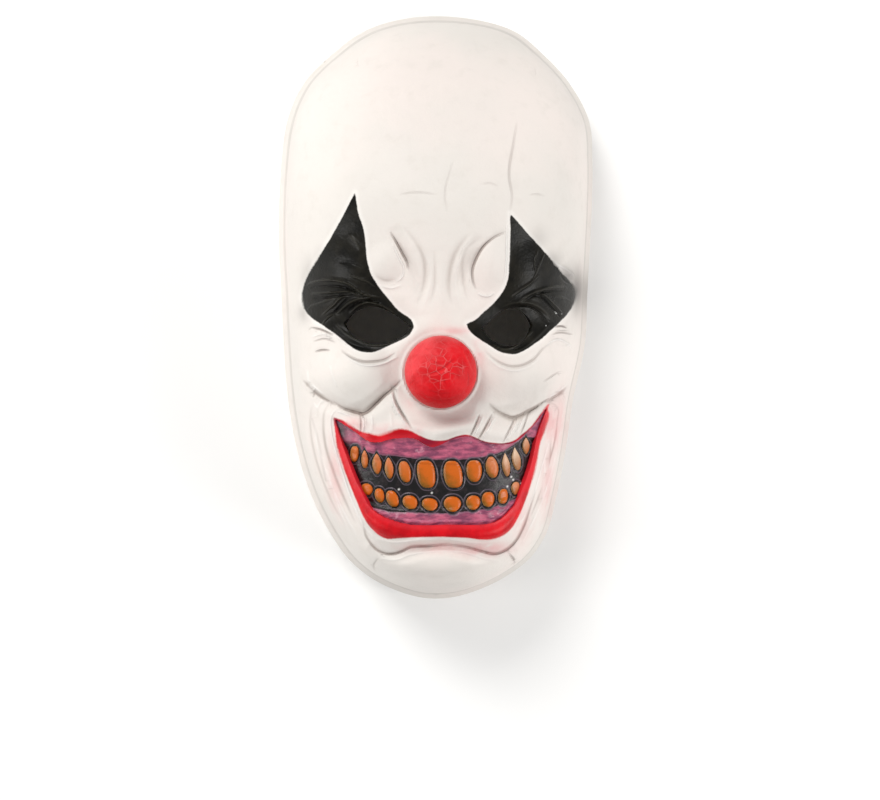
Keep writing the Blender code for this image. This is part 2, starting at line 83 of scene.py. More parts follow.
# Sections across the face from the chin to the crown. y is a share of the half length, left
# and right of the half width, height of the face depth. squareness is the exponent across.
Section = namedtuple("Section", "y left right height squareness")
SECTIONS = (
    Section(-1.00, 0.00, 0.00, 0.00, 2.4),
    Section(-0.975, 0.235, 0.245, 0.46, 2.5),
    Section(-0.93, 0.41, 0.43, 0.70, 2.6),
    Section(-0.87, 0.545, 0.585, 0.80, 2.8),
    Section(-0.79, 0.655, 0.69, 0.86, 2.9),
    Section(-0.65, 0.79, 0.765, 0.91, 2.9),
    Section(-0.50, 0.88, 0.82, 0.945, 2.9),
    Section(-0.32, 0.94, 0.87, 0.96, 2.9),
    Section(-0.12, 0.97, 0.95, 0.935, 2.9),
    Section(0.05, 0.985, 0.965, 0.91, 2.8),
    Section(0.20, 1.0, 0.981, 0.97, 2.7),
    Section(0.35, 1.0, 0.995, 1.00, 2.6),
    Section(0.50, 0.985, 1.0, 0.945, 2.5),
    Section(0.64, 0.95, 0.982, 0.83, 2.4),
    Section(0.77, 0.846, 0.86, 0.69, 2.35),
    Section(0.88, 0.642, 0.67, 0.51, 2.3),
    Section(0.96, 0.415, 0.465, 0.31, 2.2),
    Section(1.00, 0.00, 0.00, 0.00, 2.2),
)

# Swellings and hollows. x and across are shares of the half width, y and along of the half
# length, turn is in half turns anticlockwise and rise is a share of the relief depth.
Swelling = namedtuple("Swelling", "x y across along turn rise")
SWELLINGS = (
    Swelling(-0.33, 0.13, 0.13, 0.085, 0.03, 0.50),  # left frown drop
    Swelling(0.31, 0.12, 0.12, 0.12, -0.08, 0.55),  # right frown drop
    Swelling(-0.58, 0.10, 0.32, 0.13, -0.12, 0.55),  # left brow
    Swelling(0.60, 0.09, 0.32, 0.13, 0.12, 0.55),  # right brow
    Swelling(-0.38, -0.07, 0.34, 0.11, -0.03, -0.85),  # left eye socket
    Swelling(0.41, -0.08, 0.32, 0.11, 0.03, -0.85),  # right eye socket
    Swelling(0.00, 0.02, 0.14, 0.16, 0.00, 0.45),  # bridge of the nose
    Swelling(-0.54, -0.24, 0.36, 0.125, 0.05, 1.00),  # left cheek
    Swelling(0.56, -0.25, 0.34, 0.125, -0.05, 1.00),  # right cheek
    Swelling(0.00, -0.40, 0.36, 0.085, 0.00, 0.55),  # upper lip
    Swelling(0.02, -0.885, 0.46, 0.085, 0.00, 0.75),  # chin
)

# Broad creases, each a path of (x, y) shares of the half width and the half length. breadth
# is half the crease's width as a share of the half width, and depth is a share of the relief.
Crease = namedtuple("Crease", "breadth depth path")
CREASES = (
    Crease(0.055, 0.30, ((-0.29, 0.25), (-0.21, 0.14), (-0.12, 0.03))),
    Crease(0.055, 0.30, ((0.25, 0.22), (0.17, 0.13), (0.10, 0.03))),
    Crease(0.07, 0.50, ((-0.82, -0.26), (-0.70, -0.32), (-0.52, -0.36), (-0.38, -0.32), (-0.28, -0.27))),
    Crease(0.07, 0.50, ((0.82, -0.26), (0.68, -0.31), (0.52, -0.355), (0.36, -0.37), (0.22, -0.345))),
    Crease(0.07, 0.40, ((-0.75, -0.32), (-0.75, -0.42), (-0.67, -0.57), (-0.54, -0.71), (-0.43, -0.80))),
    Crease(0.07, 0.50, ((-0.43, -0.80), (-0.28, -0.83), (0.00, -0.80), (0.28, -0.83), (0.47, -0.80))),
    Crease(0.07, 0.40, ((0.47, -0.80), (0.56, -0.71), (0.64, -0.58), (0.69, -0.45), (0.74, -0.30))),
)

# Fine folds, placed as the camera sees them, in points of the picture. half_width and rise
# are in millimetres, and a rise below 0 is a groove. core is the strength of the thin line
# along its middle, which is painted shade along a groove and a painted highlight along a
# ridge, and a bump along both. lean makes the fold's left side wider and its right side
# steeper, seen along the path, or the other way round where it is below 0.
Fold = namedtuple("Fold", "half_width rise core path lean", defaults=(0.0,))
FOREHEAD_FOLDS = (
    Fold(2.0, -0.30, 0.35, ((517, 121), (513, 146), (509, 174), (512, 198), (510, 212))),
    Fold(1.4, -0.15, 0.22, ((399, 195), (410, 193), (420, 192.5), (430, 193.5), (437, 195))),
    Fold(1.8, -0.16, 0.20, ((453.5, 161), (448, 178), (445, 192), (447, 212))),
    Fold(1.4, -0.15, 0.20, ((482, 184), (490, 183), (498, 186))),
    Fold(1.4, -0.15, 0.20, ((529, 195), (537, 194), (545, 196))),
    Fold(0.9, -0.12, 0.25, ((357.8, 58), (358.1, 62), (358.3, 66))),
    Fold(0.9, -0.12, 0.25, ((534, 66), (535.3, 70), (536, 75))),
)
FROWN_FOLDS = (
    Fold(1.7, -0.80, 0.80, ((390, 232), (396.3, 242.4), (403, 254.8), (407.1, 263.1), (407.9, 270)), 0.3),
    Fold(1.3, 0.45, 0.50, ((392, 243), (400.5, 260.6), (403.8, 267.3), (403, 275.6), (397, 282))),
    Fold(2.2, -0.50, 0.15, ((375, 276), (386, 281), (397, 280))),
    Fold(1.7, 0.40, 0.30, ((381, 286), (391, 288), (402, 285))),
    Fold(2.6, -0.60, 0.15, ((404, 228), (414, 240), (421, 252), (425, 268), (424, 285), (417, 305)), 0.2),
    Fold(2.2, 0.45, 0.10, ((412, 238), (425, 256), (431, 276), (428, 294), (420, 314))),
    Fold(2.2, -0.40, 0.12, ((434, 250), (435, 270), (434, 290), (430, 305))),
    Fold(2.6, 0.35, 0.00, ((441, 252), (441, 285), (440, 316))),
    Fold(2.6, -0.70, 0.15, ((469, 234), (458, 249), (452, 262), (449, 278), (449, 292), (452, 305)), -0.2),
    Fold(2.2, 0.45, 0.10, ((470, 246), (459, 264), (456, 284), (461, 309))),
    Fold(2.2, -0.40, 0.15, ((478, 239), (466.2, 249.9), (462.1, 263.1), (463, 282), (467, 300))),
    Fold(
        1.7, -1.00, 0.80,
        ((505, 232), (493.8, 237.6), (483.6, 246.8), (476.4, 259.1), (472.8, 269.3), (472.8, 279.5), (476, 290)), -0.4,
    ),
    Fold(1.4, 0.50, 0.50, ((478, 293), (481, 295), (486.6, 296.3), (495, 293))),
    Fold(1.2, 0.45, 0.50, ((507, 222), (506.6, 240), (506.2, 258), (505.4, 272), (503, 283))),
    Fold(2.2, 0.90, 0.50, ((552, 261), (561, 266), (569, 271), (575, 277), (577, 283))),
    Fold(1.6, -0.50, 0.30, ((560, 275), (566, 282), (573, 285))),
)
LEFT_PATCH_FOLDS = (
    Fold(
        1.3, 1.10, 0.90,
        ((309, 283.5), (323.4, 280.5), (335.8, 280.9), (347.4, 283.8), (355.7, 288.8), (362.3, 293.8), (370.6, 296.3),
         (381, 297.5)), 0.3,
    ),
    Fold(1.2, -0.90, 0.60, ((311, 288), (330, 286), (346, 288), (357, 293), (368, 299.5))),
    Fold(1.0, 0.70, 0.80, ((350, 275.5), (359, 278.9), (366.5, 281.4), (375, 287))),
    Fold(1.2, 1.00, 0.80, ((312, 293.5), (327.5, 293), (339.1, 292.1), (349.1, 292.1), (357.4, 294.6), (364, 297)), 0.3),
    Fold(1.1, -0.80, 0.50, ((314, 298), (330, 297.5), (344, 295.5), (356, 297.5))),
    Fold(1.8, 0.60, 0.35, ((309, 307), (320, 303.5), (328, 300.4), (337, 296.5))),
    Fold(0.9, 0.90, 0.90, ((322, 315.5), (333.3, 305.4), (342.4, 297.1), (348, 296))),
    Fold(1.0, -0.80, 0.60, ((330, 316), (340, 307), (349, 299), (356, 298))),
    Fold(1.2, 0.90, 0.80, ((337, 314), (342.4, 308.7), (349.9, 302.9), (357.4, 299.6), (369, 298.8))),
    Fold(1.0, -0.80, 0.60, ((348, 311), (358, 303.5), (368, 300.8), (382, 302.5))),
    Fold(1.2, 0.90, 0.80, ((350, 313), (359, 305.4), (366.5, 302.9), (374.8, 303.7), (383, 306.5), (394, 313))),
    Fold(0.9, 0.80, 1.00, ((322, 325), (327, 318.5), (334, 313.5))),
    Fold(1.7, 0.90, 0.50, ((335, 323), (345, 333), (357, 340), (370, 345), (388, 344), (407, 334))),
    Fold(1.2, -0.60, 0.50, ((333, 328), (342, 338.5), (356, 346), (372, 349.5))),
    Fold(2.6, 0.60, 0.45, ((349, 234), (356, 243), (361, 251))),
    Fold(2.6, -0.35, 0.20, ((338, 262), (352, 263), (364, 268))),
)
RIGHT_PATCH_FOLDS = (
    Fold(1.0, 0.60, 0.60, ((510, 298.5), (521.3, 289.7), (531.5, 282.5), (539, 275))),
    Fold(1.4, 0.90, 0.70, ((519, 302.5), (529.5, 294.8), (542.7, 289.7), (554, 286.6), (565, 286))),
    Fold(1.2, -0.80, 0.60, ((526, 300.5), (536, 293.8), (548, 291.3), (563, 290.5))),
    Fold(1.0, 0.70, 0.70, ((532, 293), (543, 294.5), (553, 303), (562, 312.5))),
    Fold(1.0, -0.80, 0.80, ((530, 295), (540.7, 297), (550.9, 306.5), (560, 317))),
    Fold(1.6, 0.80, 0.40, ((500, 308), (512, 303.5), (522, 302.5), (533, 304), (543, 310), (553, 322))),
    Fold(0.9, -0.60, 0.50, ((505, 309.5), (518, 306), (530, 307), (541, 314), (549, 323))),
    Fold(0.8, 0.40, 0.50, ((538, 250), (534.6, 263.1), (536, 273))),
    Fold(0.8, 0.40, 0.50, ((544.5, 253), (540.7, 263), (533.5, 279))),
    Fold(1.4, 0.50, 0.30, ((552, 296), (562, 297), (571, 301))),
    Fold(1.0, 0.60, 0.90, ((492, 344.5), (505, 349), (514.2, 347), (525.4, 338), (533, 331))),
    Fold(1.5, 0.50, 0.30, ((480, 336), (492, 346.5), (506, 352), (522, 349), (536, 338), (550, 324))),
)
EYE_BAG_FOLDS = (
    Fold(1.6, -0.70, 0.55, ((341, 350), (350, 356.3), (357.1, 359.8), (364.3, 361.6), (374.1, 361.6), (384.8, 359.8),
                            (396, 353))),
    Fold(1.7, 0.60, 0.50, ((342, 353.5), (354, 361), (364, 365), (374, 365.5), (385, 363), (398, 356.5))),
    Fold(1.0, -0.80, 0.80, ((311, 327.5), (322, 330), (334, 335.5))),
    Fold(1.1, -0.50, 0.40, ((313, 342), (325, 339), (336, 343))),
    Fold(1.2, -0.60, 0.70, ((315, 352), (323, 350), (330, 350.5))),
    Fold(1.3, 0.50, 0.40, ((312, 337), (324, 334), (335, 339))),
    Fold(1.6, -0.60, 0.40, ((484, 350), (498, 361.5), (510, 366), (521.3, 365.2), (533.6, 359.1), (542.7, 349), (553, 341))),
    Fold(1.8, 0.55, 0.25, ((486, 356), (500, 367), (514, 370.5), (530, 366), (541, 357))),
    Fold(1.5, 0.80, 0.60, ((543, 349), (549, 343.5), (556, 339.7), (567.2, 342.7), (573, 350))),
    Fold(0.9, -0.80, 0.90, ((555, 326.6), (561, 326), (568, 327.8))),
    Fold(1.0, -0.50, 0.55, ((552, 334.5), (558, 332.5), (564.2, 332.5), (573, 334.5))),
)
CHEEK_FOLDS = (
    Fold(1.4, 0.40, 0.35, ((330.2, 365), (333, 376.8), (337, 387))),
    Fold(1.0, -0.30, 0.35, ((543, 382), (552, 376), (561, 370.5))),
    Fold(1.8, 0.60, 0.60, ((307.6, 370), (308.9, 381.3), (315.2, 388), (324, 395))),
    Fold(1.8, -1.20, 0.70, ((303, 380), (312.5, 390.2), (320.5, 396.4), (327, 400.3), (336, 405.5)), 0.3),
    Fold(
        2.1, -1.60, 0.90,
        ((333, 401.5), (339.3, 406), (344.6, 408.9), (350, 410.7), (357.1, 412.7), (362.5, 413.8), (367, 412.3),
         (371.4, 408.9), (376.8, 403.6), (384.8, 395.8), (392.9, 389.3), (402, 380)), 0.4,
    ),
    Fold(1.4, 0.55, 0.40, ((336, 410.5), (346, 414), (356, 417))),
    Fold(1.0, -0.50, 0.60, ((360.5, 414.5), (361.2, 424), (360.9, 433))),
    Fold(1.2, 0.60, 0.50, ((363.2, 416.5), (363.8, 425), (363.2, 432))),
    Fold(1.6, 0.50, 0.35, ((371.4, 414), (372.3, 424), (372, 432))),
    Fold(1.8, 0.35, 0.20, ((390, 412), (391.5, 422), (392, 429))),
    Fold(1.4, -0.90, 0.65, ((393, 386), (396, 401.8), (400.5, 410.7), (405, 417.9), (409.4, 424.5), (412, 430)), -0.2),
    Fold(1.5, 0.75, 0.60, ((390.5, 391), (393.4, 401.8), (397.5, 411), (402, 418.5), (407, 426.5))),
    Fold(2.1, -1.30, 0.45, ((488, 403), (497.1, 411.2), (505.3, 415.3), (511.4, 417.3), (519.6, 415.3), (526.7, 411.2),
                            (534.9, 407.1), (543, 402)), -0.4),
    Fold(1.2, -0.80, 0.90, ((525, 413), (534.9, 407.6), (542, 402.8), (549, 398.5))),
    Fold(1.8, -1.20, 0.60, ((545, 402), (557.3, 394.9), (562.4, 391.3), (570, 384.5)), -0.3),
    Fold(1.2, 0.50, 0.50, ((549, 397), (558, 391.5), (567, 384))),
    Fold(1.1, -0.80, 0.75, ((479.5, 414), (474.7, 426.5), (469, 438.5))),
    Fold(1.5, 0.60, 0.50, ((483, 416), (478.3, 428), (473, 438.5))),
    Fold(1.1, -0.80, 0.75, ((492, 414), (483.9, 429.6), (477, 441.5))),
    Fold(1.5, 0.60, 0.45, ((495, 417), (487.8, 430), (482, 440.5))),
    Fold(1.0, -0.60, 0.55, ((515.5, 417.5), (509.4, 429.6), (502.5, 443))),
    Fold(1.3, 0.45, 0.35, ((519, 418), (513.2, 430), (507, 441))),
    Fold(0.9, -0.60, 0.55, ((528.5, 412), (524.7, 423.5), (520, 435))),
    Fold(1.2, 0.50, 0.40, ((525, 414), (521.3, 424), (517, 434))),
    Fold(4.5, 0.60, 0.00, ((418, 424), (440, 428), (464, 424))),
)
MOUTH_FOLDS = (
    Fold(
        1.9, 1.10, 0.60,
        ((329, 397.5), (321.4, 401.8), (317, 408.9), (315.6, 416.1), (315.7, 428), (317.3, 445.3), (323.5, 463.7),
         (330.6, 483.1), (340.8, 505.5), (349, 521.8), (358, 537)),
    ),
    Fold(1.8, -0.80, 0.40, ((330, 403), (325, 411), (323.5, 425), (325.5, 445), (333, 470), (344, 498), (356, 524))),
    Fold(
        1.5, 0.90, 0.70,
        ((340, 407.5), (333, 412.5), (330.6, 419.6), (331, 430), (334, 445.3), (340.3, 465.7), (347, 487.1),
         (354, 505.5), (360.5, 519.8), (366.5, 530), (375, 538.5)),
    ),
    Fold(1.8, -0.60, 0.35, ((313, 402), (310.5, 418), (311.5, 437), (315.5, 457), (322, 478), (332, 502), (346, 527))),
    Fold(1.8, 1.00, 0.60, ((559, 394), (563.5, 404.1), (562.9, 421.4), (560, 440), (554, 462), (546, 490), (536, 515),
                           (522, 543))),
    Fold(1.1, -0.80, 0.70, ((561, 391), (566.5, 401), (567, 421.4), (563.5, 450), (556.5, 473), (547, 499))),
    Fold(1.2, -0.80, 0.50, ((547, 404), (554.3, 403.5), (558, 409), (557.3, 421.4), (555, 440), (549, 462), (541, 490),
                            (530, 518))),
    Fold(1.3, 0.80, 0.60, ((546.5, 403), (552.4, 410.2), (553.4, 419.4), (550.5, 436.7), (546.5, 450), (541.5, 468),
                           (534.5, 492), (526.5, 512), (515, 532))),
    Fold(1.6, 0.60, 0.30, ((374, 538), (392, 542), (420, 540), (445, 539), (480, 543), (503, 540))),
    Fold(
        1.6, -1.10, 0.70,
        ((363, 523), (367.3, 538.2), (371.4, 544.3), (377.6, 550.4), (384.7, 553.5), (393.9, 554), (402, 551.4),
         (410.2, 547.3), (420, 546.3), (432, 545.6), (450, 543.5)), 0.2,
    ),
    Fold(
        1.6, -1.10, 0.70,
        ((438, 545), (452, 545), (466, 547), (482, 551.5), (495, 554), (506, 550), (515, 542), (523, 528), (530, 508),
         (536, 488)), 0.2,
    ),
    Fold(2.0, 0.60, 0.35, ((378, 558), (396, 559.5), (410, 554.5), (428, 551.5), (448, 550.5), (468, 553), (484, 558), (500, 561))),
)
CHIN_FOLDS = (
    Fold(1.5, -0.80, 0.55, ((507, 552), (514, 560), (511, 571), (502, 581)), -0.3),
    Fold(0.7, -0.40, 0.90, ((509, 555), (513.5, 560), (518, 567))),
    Fold(1.8, -0.50, 0.25, ((380, 557), (374, 566), (378, 577))),
    Fold(3.0, -0.35, 0.00, ((424, 575), (436, 577), (450, 575))),
)
FOLDS = (
    FOREHEAD_FOLDS + FROWN_FOLDS + LEFT_PATCH_FOLDS + RIGHT_PATCH_FOLDS
    + EYE_BAG_FOLDS + CHEEK_FOLDS + MOUTH_FOLDS + CHIN_FOLDS
)

# The painted areas, in points of the picture: each outline is runs that meet at its corners.
LEFT_PATCH = (
    ((355, 193), (358, 212), (364, 232), (366, 246), (368, 265), (374, 280), (387, 297), (399, 311), (412, 321), (414, 327)),
    ((414, 327), (410, 334), (397, 342), (386, 347), (373, 352), (360, 351), (349, 345), (341, 338), (331, 331), (321, 324),
     (311, 317), (304, 308), (303, 291), (308, 276), (318, 259), (330, 239), (341, 220), (349, 205), (355, 193)),
)
RIGHT_PATCH = (
    ((510, 213), (510.5, 230), (510, 251), (509, 265), (508, 279), (503, 291), (495, 302), (485, 311), (475, 320), (466, 324)),
    ((466, 324), (469, 330), (478, 338), (489, 345), (501, 352), (516, 354), (528, 348), (540, 340), (552, 329), (562, 320),
     (569, 312), (575, 300), (575, 288), (570, 281), (562, 273), (553, 262), (543, 250), (528, 234), (518, 222), (510, 213)),
)
RED_LIPS = (
    ((333, 417), (335, 431), (337, 446), (342, 463), (347, 477), (352, 490), (357, 502), (363, 516), (371, 528), (380, 536),
     (386, 538.5), (400, 538), (423, 537), (445, 537), (468, 538), (486, 540), (496, 538.5), (509, 531), (518, 518),
     (525, 501), (530, 487), (536.5, 464), (540, 445), (546, 427), (549.5, 414), (547, 406)),
    ((547, 406), (538, 417), (530, 428), (521, 435), (515, 440), (504, 443), (490, 442.5), (478, 439), (467, 434.5),
     (457, 436), (445, 440), (432, 440), (423, 437), (415, 433), (408, 430), (401, 429), (389, 432), (380, 434.5),
     (368, 433), (360, 431), (350, 425), (342, 420), (333, 417)),
)
PINK_SPRAY = (  # centre and reach in the picture, and strength
    (352, 428, 12, 9, 0.55), (556, 428, 5, 24, 0.40), (398, 430, 22, 6, 0.45), (484, 549, 26, 7, 0.45), (440, 547, 40, 5, 0.35),
    (560, 420, 8, 26, 0.30), (548, 480, 8, 40, 0.30), (522, 522, 10, 24, 0.22), (336, 470, 7, 40, 0.28),
    (455, 331, 20, 4, 0.35), (478, 352, 6, 18, 0.35), (410, 404, 8, 8, 0.15), (440, 412, 24, 4, 0.14), (550, 424, 6, 20, 0.45),
)
# Grey sprays: the first seven are thin faded paint at the black patches' edges, and the last three are painted shade
# on the cheeks and under the chin.
GREY_FADE_AND_SHADE_SPRAY = (
    (577, 290, 12, 22, 0.80), (567, 278, 14, 11, 0.75), (551, 262, 12, 10, 0.40), (322, 262, 8, 14, 0.25),
    (308, 282, 6, 20, 0.40), (305, 312, 7, 10, 0.35), (538, 240, 10, 12, 0.20),
    (350, 388, 30, 17, 0.10), (528, 390, 34, 19, 0.13), (446, 590, 60, 10, 0.06),
)

SOFT_EDGES = (  # where the red paint was sprayed, and so has a soft edge
    (385, 432, 26, 8, 1.0), (352, 424, 12, 8, 0.8), (545, 425, 10, 22, 0.8), (536, 470, 8, 30, 0.7), (340, 455, 7, 25, 0.6),
    (500, 540, 18, 8, 0.5),
)
BLACK_FADES = (  # where the black paint was sprayed thin
    (577, 290, 12, 22, 1.0), (557, 265, 12, 9, 0.8), (305, 300, 6, 22, 0.8), (315, 264, 8, 12, 0.6),
)
MOUTH_CORNERS = ((340, 432, 6, 9, 1.0), (346, 446, 7, 6, 0.9), (357, 447, 6, 3, 0.6))
DARK_LIPS = (
    (426, 442, 16, 6, 0.9), (452, 438, 18, 7, 1.0), (480, 441, 18, 8, 1.0), (504, 443, 14, 8, 1.0),
    (522, 432, 9, 9, 0.8), (536, 417, 8, 10, 0.7), (335, 419, 8, 6, 0.8), (348, 430, 10, 5, 0.5),
)
FACE_GLINTS = ((561.6, 314.2), (556.6, 313.3), (555.2, 312.2), (545.8, 325.9))

# The eye hole from its inner corner over the upper lid and back under the lower one, as
# shares of half its width, towards the nose, and of half its height.
EYE_CORNER = (1.0, -0.05)
UPPER_LID = (EYE_CORNER, (0.73, 0.30), (0.40, 0.70), (-0.05, 1.0), (-0.48, 0.90), (-0.80, 0.55), (-1.0, 0.15))
LOWER_LID = ((-1.0, 0.15), (-0.86, -0.25), (-0.60, -0.70), (-0.20, -0.97), (0.25, -0.93), (0.70, -0.56), EYE_CORNER)
Eye = namedtuple("Eye", "x y width inwards")
EYES = (Eye(-0.382, -0.073, 0.0336, 1), Eye(0.416, -0.078, 0.0256, -1))

# The mouth opening from its left tip along the upper edge and back along the lower one, as
# shares of half its width and height. Its centre is in shares of the face's half sizes.
MOUTH_CENTRE = np.array([0.014 * HALF_WIDTH, -0.532 * HALF_LENGTH])
LEFT_TIP = (-1.0, 0.78)
RIGHT_TIP = (1.0, 1.0)
MOUTH_UPPER = (
    LEFT_TIP, (-0.83, 0.58), (-0.62, 0.37), (-0.45, 0.44), (-0.29, 0.45), (-0.10, 0.30),
    (0.12, 0.45), (0.23, 0.48), (0.40, 0.37), (0.62, 0.35), (0.82, 0.60), RIGHT_TIP,
)
MOUTH_LOWER = (
    RIGHT_TIP, (0.89, 0.48), (0.84, 0.05), (0.75, -0.40), (0.66, -0.72), (0.50, -0.96),
    (0.07, -1.0), (-0.36, -0.98), (-0.60, -0.82), (-0.76, -0.40), (-0.90, 0.22), LEFT_TIP,
)

# Teeth, in points of the picture. lean is how far the top stands to the right of the foot,
# point narrows the top and foot_point the foot, as shares of the half width, squareness is
# the outline's exponent, and cream is how far the colour goes from orange to cream.
Tooth = namedtuple("Tooth", "x y half_width half_height lean point foot_point squareness cream")
TEETH = (
    Tooth(354.6, 454.0, 4.3, 7.9, 0.3, 0.10, 0.25, 3.0, 0.05),
    Tooth(364.8, 459.2, 3.5, 9.2, -0.3, 0.60, 0.05, 2.3, 0.15),
    Tooth(377.0, 463.8, 4.8, 10.4, -0.4, 0.60, 0.30, 2.3, 0.15),
    Tooth(389.2, 468.2, 4.5, 10.7, -0.8, 0.50, 0.25, 2.3, 0.15),
    Tooth(405.0, 471.8, 6.0, 10.7, -1.6, 0.20, 0.20, 2.8, 0.05),
    Tooth(426.4, 474.2, 9.0, 13.8, -1.6, 0.05, 0.15, 3.2, 0.0),
    Tooth(453.2, 474.4, 9.4, 13.6, -1.6, 0.20, 0.10, 3.2, 0.0),
    Tooth(474.4, 471.2, 7.8, 10.9, -0.3, 0.05, 0.25, 3.0, 0.0),
    Tooth(492.2, 467.3, 6.6, 10.8, -1.2, 0.35, 0.20, 2.6, 0.15),
    Tooth(506.3, 464.8, 4.2, 12.0, -1.4, 0.75, 0.10, 2.2, 0.65),
    Tooth(516.4, 458.8, 4.7, 11.8, -2.0, 0.80, 0.05, 2.2, 0.80),
    Tooth(526.2, 445.8, 4.2, 8.6, -0.3, 0.65, 0.45, 2.2, 0.45),
    Tooth(367.2, 489.4, 5.8, 6.0, -0.9, 0.05, 0.35, 2.4, 0.0),
    Tooth(379.7, 495.6, 4.9, 7.3, -0.9, 0.10, 0.25, 2.5, 0.0),
    Tooth(392.5, 498.8, 6.2, 8.3, -2.0, 0.15, 0.15, 2.5, 0.0),
    Tooth(410.2, 502.4, 7.4, 6.9, -1.0, 0.05, 0.15, 2.5, 0.0),
    Tooth(430.0, 504.5, 8.0, 6.3, -1.0, 0.10, 0.25, 2.6, 0.0),
    Tooth(452.6, 504.3, 8.8, 7.8, -0.2, 0.10, 0.35, 2.5, 0.0),
    Tooth(473.4, 502.8, 7.2, 7.3, 0.2, 0.05, 0.30, 2.5, 0.0),
    Tooth(488.3, 499.6, 6.5, 7.6, 0.2, 0.05, 0.25, 2.5, 0.0),
    Tooth(503.3, 496.4, 5.1, 7.6, 0.6, 0.20, 0.15, 2.6, 0.0),
    Tooth(515.8, 488.4, 4.6, 6.6, 0.4, 0.05, 0.35, 2.4, 0.25),
)
UPPER_GUM_EDGE = (
    (330, 425), (338, 437), (346, 443), (356, 448), (366, 452), (380, 455), (394, 456), (410, 458), (436, 460), (461, 460),
    (481, 457), (495, 455), (504, 451), (513, 446), (520, 440), (526, 437), (534, 438), (545, 437),
)
LOWER_GUM_EDGE = (
    (352, 500), (366, 506), (374, 508), (382, 510), (395, 512), (410, 512), (430, 513), (452, 513), (470, 511), (485, 509),
    (500, 505), (512, 500), (530, 494),
)
GLINTS = ((511.6, 477.0), (507.7, 486.6), (521.2, 483.4), (513.5, 480.0), (432.0, 493.0), (399.0, 489.5))

# Wrinkles of the ball nose, as the folds of the face are given
NOSE_FOLDS = (
    Fold(0.9, -0.30, 0.90, ((429, 373), (437, 371), (443, 367), (449, 362), (456, 357))),
    Fold(0.8, 0.25, 0.90, ((432, 375.5), (441, 373), (447, 368), (455, 362), (462, 359.5))),
    Fold(0.8, 0.25, 0.90, ((441, 373), (440, 380), (441, 386), (445, 391))),
    Fold(0.6, -0.17, 0.70, ((443, 374), (443, 381), (446, 388))),
    Fold(0.8, 0.25, 0.80, ((441, 374), (434, 376), (427, 376), (420, 372.5))),
    Fold(0.7, 0.20, 0.70, ((438, 378.5), (430, 380), (423, 385))),
    Fold(0.7, 0.20, 0.80, ((434, 373), (429, 367), (425.5, 361))),
    Fold(0.8, 0.25, 0.80, ((430, 356), (436, 360), (442, 361), (448, 358.5))),
    Fold(0.6, -0.20, 0.80, ((429, 359), (436, 363), (444, 364))),
    Fold(0.8, 0.23, 0.80, ((453.5, 360), (457, 368), (464, 378))),
    Fold(0.6, -0.17, 0.70, ((455.5, 359), (461, 368), (466, 380))),
    Fold(0.7, 0.20, 0.70, ((447, 371), (454, 376), (449, 384))),
    Fold(1.0, 0.33, 0.80, ((462, 350), (467, 361), (472, 373))),
    Fold(0.8, -0.23, 0.60, ((466.5, 369), (468.5, 380), (467, 390))),
    Fold(1.0, 0.20, 0.40, ((412, 350), (411, 364), (413, 378))),
    Fold(0.8, 0.17, 0.50, ((418, 345), (427, 352), (433, 354.5))),
    Fold(1.0, -0.15, 0.40, ((423, 389), (438, 394), (454, 392.5))),
    Fold(1.1, -0.15, 0.40, ((418, 395), (440, 401), (462, 396))),
)

# Rows of the face's net: close together from the chin's boss to the patches' tips
CHIN_ROWS = 12
FACE_ROWS = 228
CROWN_ROWS = 50
FACE_FOOT = -132 * MM
FACE_HEAD = 62 * MM
FRONT_COLUMNS = 150
WALL_COLUMNS = 17
FRONT_SHARE = 0.84
TEETH_PITCH = 0.40 * MM

FAR = 40.0  # a distance in millimetres that no paint reaches


def smooth_through(places, values, at):
    """A cubic through the values, whose slope at each place comes from its neighbours."""
    places, values = np.asarray(places, float), np.asarray(values, float)
    slopes = np.gradient(values, places)
    at = np.clip(at, places[0], places[-1])
    span = np.clip(np.searchsorted(places, at, side="right") - 1, 0, len(places) - 2)
    width = places[span + 1] - places[span]
    t = (at - places[span]) / width
    return (
        (2 * t**3 - 3 * t**2 + 1) * values[span]
        + (t**3 - 2 * t**2 + t) * width * slopes[span]
        + (-2 * t**3 + 3 * t**2) * values[span + 1]
        + (t**3 - t**2) * width * slopes[span + 1]
    )


def smooth_step(low, high, value):
    t = np.clip((value - low) / (high - low), 0, 1)
    return t * t * (3 - 2 * t)


def mound(distance):
    """1 at the middle, level there and at its foot, where distance is 1."""
    return np.clip(1 - distance**2, 0, 1) ** 2


def column(table, name):
    return np.array([getattr(row, name) for row in table])


def smooth_path(points, count):
    """Points along a smooth open path through the given ones."""
    points = np.array(points, float)
    steps = np.linalg.norm(np.diff(points, axis=0), axis=1)
    along = np.concatenate([[0], np.cumsum(steps)])
    at = np.linspace(0, along[-1], count)
    return np.stack([smooth_through(along, points[:, k], at) for k in (0, 1)], axis=1)


def section_at(y_share, name):
    """A column of the sections, smooth in the angle from the chin, so that both ends are round."""
    angles = np.arccos(-column(SECTIONS, "y"))
    return smooth_through(angles, column(SECTIONS, name), np.arccos(-np.clip(y_share, -1, 1)))


def body_half_width(side, y_share):
    """Half width of the plain form above the flared rim, on the side that the sign gives."""
    share = np.where(side < 0, section_at(y_share, "left"), section_at(y_share, "right"))
    return share * (HALF_WIDTH - RIM_FLARE)


def plain_height(x, y):
    """Height of the plain form over a place: a superellipse across each section."""
    y_share = y / (HALF_LENGTH - RIM_FLARE)
    across = np.abs(x) / np.maximum(body_half_width(x, y_share), 1e-6)
    fullness = np.clip(1 - np.clip(across, 0, 1) ** section_at(y_share, "squareness"), 0, 1)
    return FACE_DEPTH * section_at(y_share, "height") * fullness ** (1 / WALL_SQUARENESS)


